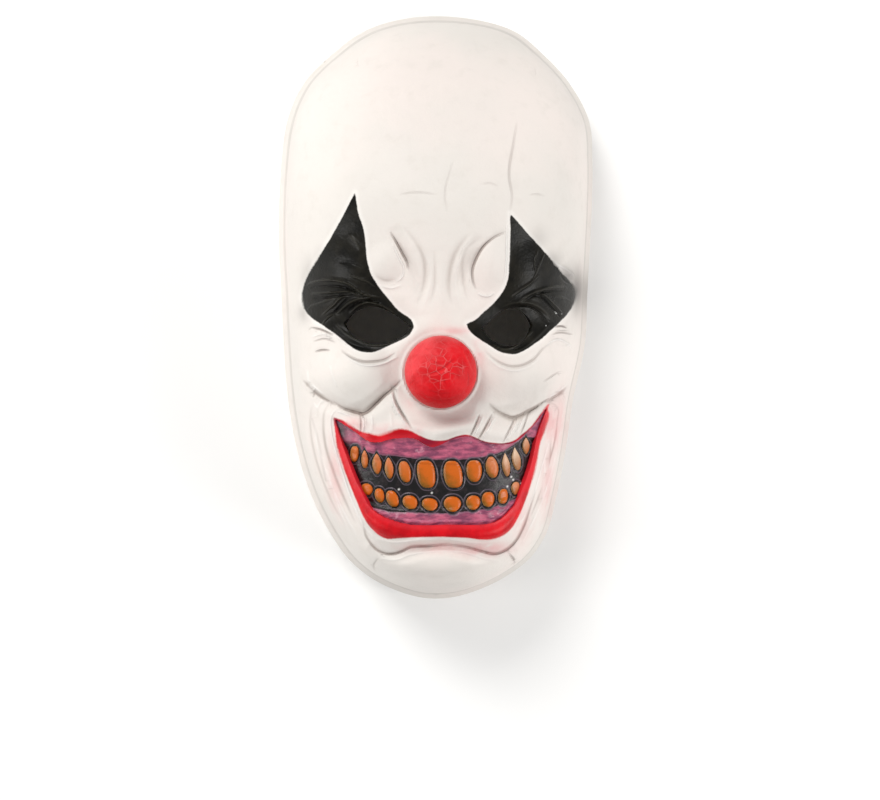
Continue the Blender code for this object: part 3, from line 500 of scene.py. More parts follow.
def near_path(x, y, path):
    """For each place: its distance from a path, above 0 on the path's left, and its share of the way along."""
    start, run = path[:-1], np.diff(path, axis=0)
    to_x, to_y = x[:, None] - start[:, 0], y[:, None] - start[:, 1]
    share = np.clip((to_x * run[:, 0] + to_y * run[:, 1]) / (run**2).sum(axis=1), 0, 1)
    distance = np.hypot(to_x - share * run[:, 0], to_y - share * run[:, 1])
    nearest = distance.argmin(axis=1)
    place = np.arange(len(x)), nearest
    side = np.where(run[nearest, 0] * to_y[place] >= run[nearest, 1] * to_x[place], 1, -1)
    return side * distance[place], (nearest + share[place]) / len(run)


def beside(x, y, path, reach):
    """Which places lie within reach of a path's own box."""
    low, high = path.min(axis=0) - reach, path.max(axis=0) + reach
    return (x > low[0]) & (x < high[0]) & (y > low[1]) & (y < high[1])


def edge_distance(x, y, loop):
    """Millimetres to a closed outline, below 0 inside it: the side comes from counting the crossings of a ray."""
    closed = np.concatenate([loop, loop[:1]])
    found = np.full(x.shape, FAR)
    near = beside(x, y, closed, 0.5 * FAR * MM)
    here_x, here_y = x[near], y[near]
    away = np.abs(near_path(here_x, here_y, closed)[0]) / MM
    (x0, y0), (x1, y1) = closed[:-1].T, closed[1:].T
    level = here_y[:, None]
    spans = (y0 > level) != (y1 > level)
    rise = np.where(y1 == y0, 1, y1 - y0)
    crossings = (spans & (here_x[:, None] < x0 + (level - y0) * (x1 - x0) / rise)).sum(axis=1)
    found[near] = np.where(crossings % 2 == 1, -away, away)
    return found


def mouth_outline(grown=0.0):
    """The mouth's edge, moved out by the given length."""
    loop = np.concatenate([smooth_path(MOUTH_UPPER, 60)[:-1], smooth_path(MOUTH_LOWER, 60)[:-1]])
    loop = loop * (MOUTH_WIDTH / 2, MOUTH_HEIGHT / 2) + MOUTH_CENTRE
    along = np.roll(loop, -1, axis=0) - np.roll(loop, 1, axis=0)
    outwards = np.stack([-along[:, 1], along[:, 0]], axis=1)
    moved = loop + grown * outwards / np.linalg.norm(outwards, axis=1, keepdims=True)
    # Where the two lips meet at a sharp tip, moved points that come too near the edge are left out.
    away = np.abs(near_path(moved[:, 0], moved[:, 1], np.concatenate([loop, loop[:1]]))[0])
    return moved[away >= 0.95 * abs(grown)]


def eye_outline(eye):
    loop = np.concatenate([smooth_path(UPPER_LID, 24)[:-1], smooth_path(LOWER_LID, 24)[:-1]])
    return loop * (eye.inwards * eye.width / 2, EYE_HEIGHT / 2) + (eye.x * HALF_WIDTH, eye.y * HALF_LENGTH)


def broad_relief(x, y):
    """Height of the swellings and broad creases over the plain form: the sum of their mounds."""
    total = np.zeros_like(x)
    for swelling in SWELLINGS:
        across = x / HALF_WIDTH - swelling.x
        along = (y / HALF_LENGTH - swelling.y) * HALF_LENGTH / HALF_WIDTH
        cosine, sine = np.cos(pi * swelling.turn), np.sin(pi * swelling.turn)
        u = (across * cosine + along * sine) / swelling.across
        v = (along * cosine - across * sine) / (swelling.along * HALF_LENGTH / HALF_WIDTH)
        total += swelling.rise * RELIEF_DEPTH * mound(np.hypot(u, v))
    for crease in CREASES:
        path = smooth_path(crease.path, 16) * (HALF_WIDTH, HALF_LENGTH)
        reach = crease.breadth * HALF_WIDTH
        near = beside(x, y, path, reach)
        across, along = near_path(x[near], y[near], path)
        # The crease runs out level at both ends.
        total[near] -= crease.depth * RELIEF_DEPTH * np.sin(pi * along) ** 0.5 * mound(across / reach)
    return total


def front_share(z):
    """1 on the front of the face and 0 on its side walls."""
    return smooth_step(0.30 * FACE_DEPTH, 0.55 * FACE_DEPTH, z)


def broad_height(x, y):
    plain = plain_height(x, y)
    return plain + front_share(plain) * broad_relief(x, y)


def seen(points):
    """Where the camera sees points of the picture on the face, as x and y in metres: each sight
    line is followed down until its height is that of the face's broad form."""
    points = np.array(points, float)
    sine, cosine = np.sin(CAMERA_TURN), np.cos(CAMERA_TURN)
    z = np.full(len(points), FACE_DEPTH)
    for _ in range(12):
        size = POINT_SIZE * (CAMERA_HEIGHT - z) / CAMERA_HEIGHT
        x = VIEW_CENTRE[0] + ((points[:, 0] - PICTURE_WIDTH / 2) * size - z * sine) / cosine
        y = VIEW_CENTRE[1] - (points[:, 1] - PICTURE_HEIGHT / 2) * size
        z = (z + broad_height(x, y)) / 2
    return np.stack([x, y], axis=1)


def painted_outline(runs):
    """A closed outline on the face from runs of picture points that meet at its corners."""
    return np.concatenate([seen(smooth_path(run, 4 * len(run)))[:-1] for run in runs])


def fold_relief(x, y, folds):
    """The folds' height, and how deep their grooves are, both in metres. Across a fold the
    height is a mound, with its own width on each side, and along it the mound fades at both ends."""
    height, grooves = np.zeros_like(x), np.zeros_like(x)
    for fold in folds:
        path = seen(smooth_path(fold.path, 8 * len(fold.path)))
        reach = fold.half_width * MM
        near = beside(x, y, path, 2 * reach)
        across, along = near_path(x[near], y[near], path)
        breadth = reach * np.where(across > 0, 1 + fold.lean, 1 - fold.lean)
        fade = np.sin(pi * np.clip(along, 0, 1)) ** 0.7
        shape = fade * mound(across / breadth) * abs(fold.rise) * MM
        height[near] += np.sign(fold.rise) * shape
        if fold.rise < 0:
            grooves[near] += shape
    return height, grooves


def spot_distance(x, y, spots):
    """Millimetres to the nearest of these points of the picture."""
    places = seen(spots)
    away = [np.hypot(x - place[0], y - place[1]) for place in places]
    return np.minimum(np.min(away, axis=0) / MM, FAR)


def fold_cores(x, y, folds):
    """The thin lines along the folds' middles, as a signed share of the line's half width and a
    strength. A share changes its sign across its line, so its zero is exact between two points
    of a net, and the strength is 0 where a place turns from one line to the next."""
    share, strength = np.full(x.shape, 3.0), np.zeros_like(x)
    for fold in folds:
        path = seen(smooth_path(fold.path, 8 * len(fold.path)))
        reach = (0.35 + 0.30 * fold.half_width) * MM
        near = beside(x, y, path, 3 * reach)
        across, along = near_path(x[near], y[near], path)
        here = across / reach
        fade = np.sin(pi * np.clip(along, 0, 1)) ** 0.5 * smooth_step(2.0, 1.2, np.abs(here))
        nearer = np.abs(here) < np.abs(share[near])
        share[near] = np.where(nearer, here, share[near])
        strength[near] = np.where(nearer, fold.core * fade, strength[near])
    return share, strength


def spray(x, y, spots):
    """Soft round sprays of paint, from 0 to 1: each spot is a bell over its own ellipse."""
    total = np.zeros_like(x)
    for px, py, reach_x, reach_y, strength in spots:
        at = seen([(px, py)])[0]
        u = (x - at[0]) / (reach_x * POINT_SIZE)
        v = (y - at[1]) / (reach_y * POINT_SIZE)
        total = np.maximum(total, strength * np.exp(-(u * u + v * v)))
    return total


def with_nose_seat(x, y, z):
    """The height, brought level in a ring round the nose."""
    radius = np.hypot(x, y - NOSE_Y)
    inner = NOSE_NECK_RADIUS + NOSE_SEAT_WIDTH
    return z + (NOSE_SEAT_HEIGHT - z) * (1 - smooth_step(inner, inner + LIP_WIDTH, radius))


def flare(x, y, z):
    """The places, moved outwards near the rim."""
    strength = RIM_FLARE * np.clip(1 - z / RIM_FLARE_HEIGHT, 0, 1) ** 2
    strength = strength - 0.5 * MM * mound((z - 12 * MM) / (2.5 * MM))
    out_x, out_y = x / HALF_WIDTH**2, y / HALF_LENGTH**2
    length = np.maximum(np.hypot(out_x, out_y), 1e-9)
    return x + strength * out_x / length, y + strength * out_y / length


def grid_faces(rows, columns):
    """Two triangles for each cell of a net that is numbered row by row."""
    corner = np.arange(rows * columns).reshape(rows, columns)
    a, b, c, d = corner[:-1, :-1], corner[:-1, 1:], corner[1:, 1:], corner[1:, :-1]
    halves = [np.stack(half, axis=-1).reshape(-1, 3) for half in ((a, b, c), (a, c, d))]
    return np.concatenate(halves)


def tidied(fields, faces):
    """The faces with three different corners, and the fields' rows that they use, numbered anew."""
    whole = (faces[:, 0] != faces[:, 1]) & (faces[:, 1] != faces[:, 2]) & (faces[:, 2] != faces[:, 0])
    used, index = np.unique(faces[whole], return_inverse=True)
    return {name: values[used] for name, values in fields.items()}, index.reshape(-1, 3)


def welded(fields, faces):
    """Points at the same place made one, as where a net's row shrinks to a pole."""
    places = np.round(fields["place"] / 1e-8).astype(np.int64)
    _, first, index = np.unique(places, axis=0, return_index=True, return_inverse=True)
    return tidied({name: values[first] for name, values in fields.items()}, index.reshape(-1)[faces])


def point_normals(places, faces):
    """The outward direction at each point: the sum of its triangles' normals, by their areas."""
    corners = places[faces]
    normals = np.cross(corners[:, 1] - corners[:, 0], corners[:, 2] - corners[:, 0])
    total = np.zeros_like(places)
    for k in range(3):
        np.add.at(total, faces[:, k], normals)
    return total / np.maximum(np.linalg.norm(total, axis=1, keepdims=True), 1e-12)


def trimmed(fields, faces, level):
    """The part of a sheet where level is above 0. An edge that crosses 0 is cut there, and a
    point that lies close to the cut is moved onto it, so that no thin slivers are left."""
    level = level.copy()
    fields = {name: values.copy() for name, values in fields.items()}
    ends = np.unique(np.sort(np.concatenate([faces[:, [0, 1]], faces[:, [1, 2]], faces[:, [2, 0]]]), axis=1), axis=0)
    crossing = ends[level[ends[:, 0]] * level[ends[:, 1]] < 0]
    share = level[crossing[:, 0]] / (level[crossing[:, 0]] - level[crossing[:, 1]])
    for near, far, part in ((0, 1, share), (1, 0, 1 - share)):
        moved = part < 0.3
        start, end, part = crossing[moved, near], crossing[moved, far], part[moved]
        first = np.unique(start, return_index=True)[1]
        start, end, part = start[first], end[first], part[first]
        still = level[end] != 0
        start, end, part = start[still], end[still], part[still]
        for values in fields.values():
            weight = part.reshape(-1, *([1] * (values.ndim - 1)))
            values[start] = values[start] + weight * (values[end] - values[start])
        level[start] = 0
    sign = np.sign(level[faces])
    below, above = (sign < 0).sum(axis=1), (sign > 0).sum(axis=1)
    kept = [faces[(below == 0) & (above > 0)]]
    mixed = (below > 0) & (above > 0)
    faces, sign, below = faces[mixed], sign[mixed], below[mixed]
    # Each mixed triangle is turned until its odd corner comes first: the only one below, or else the only one above.
    odd = np.where(below == 1, (sign < 0).argmax(axis=1), (sign > 0).argmax(axis=1))
    turned = (odd[:, None] + np.arange(3)) % 3
    faces = np.take_along_axis(faces, turned, axis=1)
    sign = np.take_along_axis(sign, turned, axis=1)
    count = len(level)
    cuts = {}

    def cut(start, end):
        """The number of the new point on each of these edges."""
        pair = np.sort(np.stack([start, end], axis=1), axis=1)
        key = pair[:, 0] * count + pair[:, 1]
        return key

    one_below, one_above = below == 1, below == 2
    first, second, third = faces.T
    keys = np.unique(np.concatenate([
        cut(first, second)[sign[:, 0] * sign[:, 1] < 0], cut(first, third)[sign[:, 0] * sign[:, 2] < 0],
    ]))
    start, end = keys // count, keys % count
    part = level[start] / (level[start] - level[end])
    for name, values in fields.items():
        weight = part.reshape(-1, *([1] * (values.ndim - 1)))
        cuts[name] = values[start] + weight * (values[end] - values[start])
    number = lambda a, b: count + np.searchsorted(keys, cut(a, b))
    both = one_below & (sign[:, 1] > 0) & (sign[:, 2] > 0)
    a, b, c = faces[both].T
    kept += [np.stack([number(a, b), b, c], axis=1), np.stack([number(a, b), c, number(a, c)], axis=1)]
    left = one_below & (sign[:, 1] > 0) & (sign[:, 2] == 0)
    a, b, c = faces[left].T
    kept += [np.stack([number(a, b), b, c], axis=1)]
    right = one_below & (sign[:, 1] == 0) & (sign[:, 2] > 0)
    a, b, c = faces[right].T
    kept += [np.stack([number(a, c), b, c], axis=1)]
    a, b, c = faces[one_above].T
    kept += [np.stack([a, number(a, b), number(a, c)], axis=1)]
    fields = {name: np.concatenate([values, cuts[name]]) for name, values in fields.items()}
    return tidied(fields, np.concatenate(kept))


def walled(fields, faces, inner_places, inner_values):
    """A closed wall from a sheet and its inner side: the inner triangles are turned round, and
    each free edge of the sheet is joined to the same edge of the inner side by two triangles,
    over which the outer values carry on."""
    count = len(fields["place"])
    ends = np.concatenate([faces[:, [0, 1]], faces[:, [1, 2]], faces[:, [2, 0]]])
    forward = ends[:, 0] * count + ends[:, 1]
    free = ends[~np.isin(forward, ends[:, 1] * count + ends[:, 0])]
    a, b = free.T
    edge = [np.stack([b, a, a + count], axis=1), np.stack([b, a + count, b + count], axis=1)]
    faces = np.concatenate([faces, faces[:, ::-1] + count, *edge])
    on_edge = np.zeros(count, bool)
    on_edge[free] = True
    whole = {"place": np.concatenate([fields["place"], inner_places])}
    for name, value in inner_values.items():
        whole[name] = np.concatenate([fields[name], np.where(on_edge, fields[name], value)])
    return whole, faces


def new_piece(name, fields, faces, node, crisp=50):
    """An object from points, triangles and the values that its paint reads. It rides on the
    mask's one body, and stands for the CAD node."""
    mesh = bpy.data.meshes.new(name)
    mesh.vertices.add(len(fields["place"]))
    mesh.vertices.foreach_set("co", fields["place"].astype(np.float32).ravel())
    mesh.loops.add(faces.size)
    mesh.loops.foreach_set("vertex_index", faces.astype(np.int32).ravel())
    mesh.polygons.add(len(faces))
    mesh.polygons.foreach_set("loop_start", np.arange(0, faces.size, 3, dtype=np.int32))
    mesh.update(calc_edges=True)
    mesh.validate()
    for label, values in fields.items():
        if label != "place":
            attribute = mesh.attributes.new(label, "FLOAT", "POINT")
            attribute.data.foreach_set("value", values.astype(np.float32))
    mesh.shade_smooth()
    mesh.set_sharp_from_angle(angle=radians(crisp))
    piece = bpy.data.objects.new(name, mesh)
    bpy.context.scene.collection.objects.link(piece)
    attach(piece, "root")
    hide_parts(node)
    return piece


def face_net():
    """The plain outer form as x, y and z, one row for each section. A row goes from the left
    rim over the face to the right rim, evenly across the front and evenly in height on the walls."""
    reach = HALF_LENGTH - RIM_FLARE
    chin_end, crown_start = np.arccos(-FACE_FOOT / reach), np.arccos(-FACE_HEAD / reach)
    y_share = np.concatenate([
        -np.cos(np.linspace(0, chin_end, CHIN_ROWS, endpoint=False)),
        np.linspace(FACE_FOOT, FACE_HEAD, FACE_ROWS, endpoint=False) / reach,
        -np.cos(np.linspace(crown_start, pi, CROWN_ROWS)),
    ])[:, None]
    squareness = section_at(y_share, "squareness")
    front = np.linspace(-FRONT_SHARE, FRONT_SHARE, FRONT_COLUMNS)[None, :]
    wall = np.linspace(0.56, 0, WALL_COLUMNS)[None, :]
    front_height = (1 - np.abs(front) ** squareness) ** (1 / WALL_SQUARENESS)
    wall_across = (1 - wall**WALL_SQUARENESS) ** (1 / squareness)
    rows = np.ones_like(y_share)
    across = np.concatenate([-wall_across[:, ::-1], front * rows, wall_across], axis=1)
    height = np.concatenate([wall[:, ::-1] * rows, front_height, wall * rows], axis=1)
    x = across * body_half_width(across, y_share + 0 * across)
    y = y_share * reach + 0 * across
    z = height * FACE_DEPTH * section_at(y_share, "height")
    return x, y, z


def make_face():
    """The latex face: the plain form with its broad relief, fine folds, lips and nose seat,
    trimmed at the holes and given a wall."""
    x, y, z = face_net()
    shape = x.shape
    x, y, z = x.ravel(), y.ravel(), z.ravel()
    front = front_share(z)
    lips = mouth_outline(LIP_WIDTH / 2)
    roll = edge_distance(x, y, lips) * MM / (LIP_WIDTH / 2)
    broad = z + front * (broad_relief(x, y) + LIP_RISE * mound(roll))
    broad = with_nose_seat(x, y, broad)
    height, grooves = fold_relief(x, y, FOLDS)
    creases = fold_cores(x, y, [fold for fold in FOLDS if fold.rise < 0])
    ridges = fold_cores(x, y, [fold for fold in FOLDS if fold.rise > 0])
    black = np.minimum(
        edge_distance(x, y, painted_outline(LEFT_PATCH)), edge_distance(x, y, painted_outline(RIGHT_PATCH))
    )
    red = edge_distance(x, y, painted_outline(RED_LIPS))
    mouth = edge_distance(x, y, mouth_outline())
    red = np.minimum(red, mouth - 0.5)
    height = height + 0.9 * MM * (1 - smooth_step(-1.6, 0.5, red))
    radius = np.hypot(x, y - NOSE_Y)
    angle = np.arctan2(y - NOSE_Y, x)
    collar = 0.45 + 0.55 * np.maximum(np.cos(angle - 0.25), np.cos(angle + 2.3))
    height = height + 1.1 * MM * collar * mound((radius - NOSE_RADIUS - 0.9 * MM) / (1.3 * MM))
    seat = smooth_step(NOSE_NECK_RADIUS, NOSE_RADIUS, radius)
    fine = broad + front * seat * height
    flared = [flare(x, y, level) for level in (fine, broad)]
    fields = {
        "place": np.stack([*flared[0], fine], axis=1),
        "broad": np.stack([*flared[1], broad], axis=1),
        "black": black,
        "red": red,
        "groove": grooves * front / MM,
        "crease": creases[0],
        "crease_depth": creases[1] * front,
        "ridge": ridges[0],
        "ridge_height": ridges[1] * front,
        "soft": spray(x, y, SOFT_EDGES),
        "thin": spray(x, y, BLACK_FADES),
        "crimson": spray(x, y, DARK_LIPS),
        "glint": spot_distance(x, y, FACE_GLINTS),
        "pink": spray(x, y, PINK_SPRAY),
        "grey_fade_and_shade": spray(x, y, GREY_FADE_AND_SHADE_SPRAY),
        "outside": np.ones_like(x),
        "mouth": mouth,
        "eyes": np.minimum(*(edge_distance(x, y, eye_outline(eye)) for eye in EYES)),
        "nose": (radius - NOSE_NECK_RADIUS - SEAT_GAP) / MM,
        "mouth_edge": mouth,
    }
    fields, faces = welded(fields, grid_faces(*shape))
    normals = point_normals(fields["broad"], faces)
    normals[:, 2] *= smooth_step(0, 6 * MM, fields["broad"][:, 2])
    fields["normal"] = normals
    for hole in ("mouth", "eyes", "nose"):
        fields, faces = trimmed(fields, faces, fields[hole])
    normals = fields["normal"] / np.linalg.norm(fields["normal"], axis=1, keepdims=True)
    inner = fields["broad"] - LATEX_WALL * normals
    inside = {"black": FAR, "red": FAR, "groove": 0, "pink": 0, "grey_fade_and_shade": 0, "outside": 0, "crease": 3.0,
              "crease_depth": 0, "ridge": 3.0, "ridge_height": 0, "soft": 0, "thin": 0, "crimson": 0, "glint": FAR,
              "mouth_edge": FAR}
    fields, faces = walled(fields, faces, inner, inside)
    return new_piece("latex_face", fields, faces, "face_shell")


def tooth_shape(tooth, x, y):
    """The tooth's own two coordinates, its level, which is 1 at the outline and 0 at the middle,
    and the distance to the outline on the line from the middle. The outline is a superellipse
    whose width narrows towards top and foot."""
    centre = seen([(tooth.x, tooth.y)])[0]
    size = POINT_SIZE * (CAMERA_HEIGHT - NOSE_SEAT_HEIGHT) / CAMERA_HEIGHT
    v = (y - centre[1]) / (tooth.half_height * size)
    held = np.clip(v, -1, 1)
    narrow = 1 - tooth.point * np.clip(held, 0, 1) ** 1.5 - tooth.foot_point * np.clip(-held, 0, 1) ** 1.5
    u = (x - centre[0] - tooth.lean * size * held) / (tooth.half_width * size * narrow)
    level = (np.abs(u) ** tooth.squareness + np.abs(v) ** tooth.squareness) ** (1 / tooth.squareness)
    away = np.hypot(u * tooth.half_width * narrow, v * tooth.half_height) * size
    return u, v, level, away * (1 - 1 / np.maximum(level, 0.05))


def make_teeth():
    """Gums and teeth: a height over each place in the mouth, trimmed at its edge."""
    low, high = mouth_outline().min(axis=0) - MM, mouth_outline().max(axis=0) + MM
    across = np.arange(low[0], high[0], TEETH_PITCH)
    up = np.arange(low[1], high[1], TEETH_PITCH)
    x, y = np.meshgrid(across, up)
    shape = x.shape
    x, y = x.ravel(), y.ravel()
    mouth = edge_distance(x, y, mouth_outline(-0.05 * MM))
    tooth_edge = np.full(x.shape, FAR)
    tooth_u, tooth_v, cream, crown = (np.zeros_like(x) for _ in range(4))
    for tooth in TEETH:
        u, v, level, distance = tooth_shape(tooth, x, y)
        distance = distance / MM
        nearer = distance < tooth_edge
        tooth_edge = np.where(nearer, distance, tooth_edge)
        tooth_u, tooth_v = np.where(nearer, u, tooth_u), np.where(nearer, v, tooth_v)
        cream = np.where(nearer, tooth.cream, cream)
        crown = np.maximum(crown, np.clip(1 - level**4.5, 0, 1) ** 0.6)
    upper_gum = near_path(x, y, seen(smooth_path(UPPER_GUM_EDGE, 60)))[0] / MM
    lower_gum = -near_path(x, y, seen(smooth_path(LOWER_GUM_EDGE, 60)))[0] / MM
    gum = np.minimum(np.maximum(upper_gum, lower_gum), tooth_edge - 1.3)
    plum = smooth_step(0.045, 0.055, x) + smooth_step(-0.040, -0.050, x)
    base = broad_height(x, y) - 1.6 * MM
    gap = smooth_step(0.5, 3.0, np.minimum(-upper_gum, -lower_gum))
    swell = smooth_step(-0.3, 1.4, gum)
    collar = mound((tooth_edge - 0.75) / 0.7)
    roll = mound((mouth + 1.6) / 1.0) * smooth_step(0, 1, lower_gum)
    z = base + MM * (0.9 * swell - 1.5 * gap + 0.55 * collar + 0.5 * roll + 1.5 * crown)
    z = z + 0.12 * MM * np.sin(x / MM * 1.1 + np.sin(y / MM * 0.9)) * swell
    glint = np.zeros_like(x)
    for place in GLINTS:
        at = seen([place])[0]
        glint = np.maximum(glint, mound(np.hypot(x - at[0], y - at[1]) / (0.75 * MM)))
    fields = {
        "place": np.stack([x, y, z], axis=1),
        "back": np.stack([x, y, base - LATEX_WALL], axis=1),
        "tooth": tooth_edge,
        "tooth_u": tooth_u,
        "tooth_v": tooth_v,
        "cream": cream,
        "gum": gum,
        "plum": plum,
        "corner": spray(x, y, MOUTH_CORNERS),
        "glint": glint,
        "mouth": mouth,
    }
    fields, faces = tidied(fields, grid_faces(*shape))
    fields, faces = trimmed(fields, faces, -fields["mouth"])
    plain = {"tooth": FAR, "tooth_u": 0, "tooth_v": 0, "cream": 0, "gum": -FAR, "plum": 0, "corner": 0, "glint": 0, "mouth": -FAR}
    fields, faces = walled(fields, faces, fields["back"], plain)
    return new_piece("gums_and_teeth", fields, faces, "teeth_plate", crisp=70)


def make_nose():
    """The ball nose: a hollow profile turned about its axis, with wrinkles on the outside."""
    stand_off = (NOSE_RADIUS**2 - NOSE_NECK_RADIUS**2) ** 0.5 + SEAT_GAP
    foot = -np.arccos(NOSE_NECK_RADIUS / NOSE_RADIUS)
    inner_radius = NOSE_RADIUS - LATEX_WALL
    inner_foot = -np.arccos((NOSE_NECK_RADIUS - LATEX_WALL) / inner_radius)
    outer = np.linspace(pi / 2, foot, 100)
    inner = np.linspace(inner_foot, pi / 2, 30)
    radius = np.concatenate([
        NOSE_RADIUS * np.cos(outer), np.full(2, NOSE_NECK_RADIUS), np.full(2, NOSE_NECK_RADIUS - LATEX_WALL),
        inner_radius * np.cos(inner),
    ])
    end = -stand_off - LATEX_WALL
    height = np.concatenate([NOSE_RADIUS * np.sin(outer), [end / 2, end, end, end / 2], inner_radius * np.sin(inner)])
    radius[[0, -1]] = 0
    turn = np.linspace(0, 2 * pi, 161)
    across, up = radius[:, None] * np.cos(turn), radius[:, None] * np.sin(turn)
    x, y, z = across, up, height[:, None] + 0 * turn
    is_outer = (np.arange(len(radius)) < 99)[:, None] + 0 * x
    length = np.maximum(np.sqrt(x * x + y * y + z * z), 1e-9)
    top = smooth_step(-0.3, 0.6, z / NOSE_RADIUS)
    fold, groove = fold_relief(x.ravel(), y.ravel() + NOSE_Y, NOSE_FOLDS)
    fold, groove = fold.reshape(x.shape), groove.reshape(x.shape)
    crinkle = 0.10 * MM * np.sin(900 * x + 3 * np.sin(500 * y)) * np.sin(1100 * y + 2 * np.sin(700 * x))
    lift = is_outer * top * (fold - 0.5 * MM + crinkle)
    oval = is_outer * top * 0.6 * MM * (np.abs(y) / NOSE_RADIUS) ** 2
    places = np.stack([
        x + lift * x / length,
        y + (lift + oval) * y / length + NOSE_Y,
        z + lift * z / length + NOSE_SEAT_HEIGHT + stand_off,
    ], axis=-1)
    places[:, -1] = places[:, 0]
    fields = {
        "place": places.reshape(-1, 3),
        "ridge": (is_outer * np.clip(fold / (0.5 * MM), 0, 1)).ravel(),
        "groove": (is_outer * groove / MM).ravel(),
        "outside": is_outer.astype(float).ravel(),
    }
    faces = grid_faces(*x.shape)[:, ::-1]
    fields, faces = welded(fields, faces)
    return new_piece("ball_nose", fields, faces, "red_nose")


def strap_line():
    """The strap from its left tab down to the ground, over two low humps and up the other side."""
    y_share = STRAP_Y / (HALF_LENGTH - RIM_FLARE)
    height = FACE_DEPTH * section_at(y_share, "height")
    squareness = section_at(y_share, "squareness")
    inset = LATEX_WALL + SEAT_GAP + STRAP_THICKNESS / 2 + SEAT_GAP
    tab_z = np.linspace(STRAP_TOP, STRAP_TOP - STRAP_TAB, 20)
    rest = STRAP_THICKNESS / 2 + SEAT_GAP
    runs = []
    for side in (-1, 1):
        share = (1 - (tab_z / height) ** WALL_SQUARENESS) ** (1 / squareness)
        tab_x = side * (share * body_half_width(side, y_share) - inset)
        bend = tab_z[-1] - rest
        turn = np.linspace(0, pi / 2, 14)[1:]
        bend_x = tab_x[-1] - side * bend * (1 - np.cos(turn))
        bend_z = tab_z[-1] - bend * np.sin(turn)
        runs.append((np.concatenate([tab_x, bend_x]), np.concatenate([tab_z, bend_z])))
    (left_x, left_z), (right_x, right_z) = runs
    along = np.linspace(0, 1, 160)[1:-1]
    slack_x = left_x[-1] + (right_x[-1] - left_x[-1]) * along
    slack_z = rest + STRAP_HUMP * np.sin(2 * pi * along) ** 2
    return (
        np.concatenate([left_x, slack_x, right_x[::-1]]),
        np.concatenate([left_z, slack_z, right_z[::-1]]),
    )


def make_strap():
    """The elastic: a flat oval profile with fine ribs, carried along the strap's line."""
    x, z = strap_line()
    step_x, step_z = np.gradient(x), np.gradient(z)
    length = np.hypot(step_x, step_z)
    travelled = np.concatenate([[0], np.cumsum(np.hypot(np.diff(x), np.diff(z)))])
    turn = np.linspace(0, 2 * pi, 72, endpoint=False)
    wide = np.sign(np.cos(turn)) * np.abs(np.cos(turn)) ** 0.5 * STRAP_WIDTH / 2
    ribs = 1 - 0.14 * np.sin(pi * wide / (0.75 * MM)) ** 2
    thick = np.sign(np.sin(turn)) * np.abs(np.sin(turn)) ** 0.4 * ribs * STRAP_THICKNESS / 2
    places = np.stack([
        x[:, None] - step_z[:, None] / length[:, None] * thick,
        STRAP_Y + wide + 0 * x[:, None],
        z[:, None] + step_x[:, None] / length[:, None] * thick,
    ], axis=-1)
    rows, columns = places.shape[:2]
    places = np.concatenate([places, places[:, :1]], axis=1)
    along = travelled[:, None] + 0 * places[..., 0]
    across = places[..., 1] - STRAP_Y
    caps = [places[k].mean(axis=0) for k in (0, -1)]
    corner = np.arange(rows * (columns + 1)).reshape(rows, columns + 1)
    count = corner.size
    fans = [
        np.stack([np.full(columns, count), corner[0, 1:], corner[0, :-1]], axis=1),
        np.stack([np.full(columns, count + 1), corner[-1, :-1], corner[-1, 1:]], axis=1),
    ]
    fields = {
        "place": np.concatenate([places.reshape(-1, 3), caps]),
        "along": np.concatenate([along.ravel(), [0, travelled[-1]]]) / MM,
        "across": np.concatenate([across.ravel(), [0, 0]]) / MM,
    }
    faces = np.concatenate([grid_faces(rows, columns + 1), *fans])
    fields, faces = welded(fields, faces)
    corners = fields["place"][faces]
    volume = (corners[:, 0] * np.cross(corners[:, 1], corners[:, 2])).sum()
    return new_piece("elastic_band", fields, faces if volume > 0 else faces[:, ::-1], "elastic_strap")


class Level:
    """A value that changes over a surface: a socket, and the sums that can be done with it."""

    def __init__(self, paint, socket):
        self.paint, self.socket = paint, socket

    def sum(self, operation, first, second=None):
        return self.paint.node("ShaderNodeMath", {"operation": operation}, [first, second])

    def __add__(self, other):
        return self.sum("ADD", self, other)

    def __sub__(self, other):
        return self.sum("SUBTRACT", self, other)

    def __rsub__(self, other):
        return self.sum("SUBTRACT", other, self)

    def __mul__(self, other):
        return self.sum("MULTIPLY", self, other)

    def absolute(self):
        return self.sum("ABSOLUTE", self)

    __radd__ = __add__
    __rmul__ = __mul__


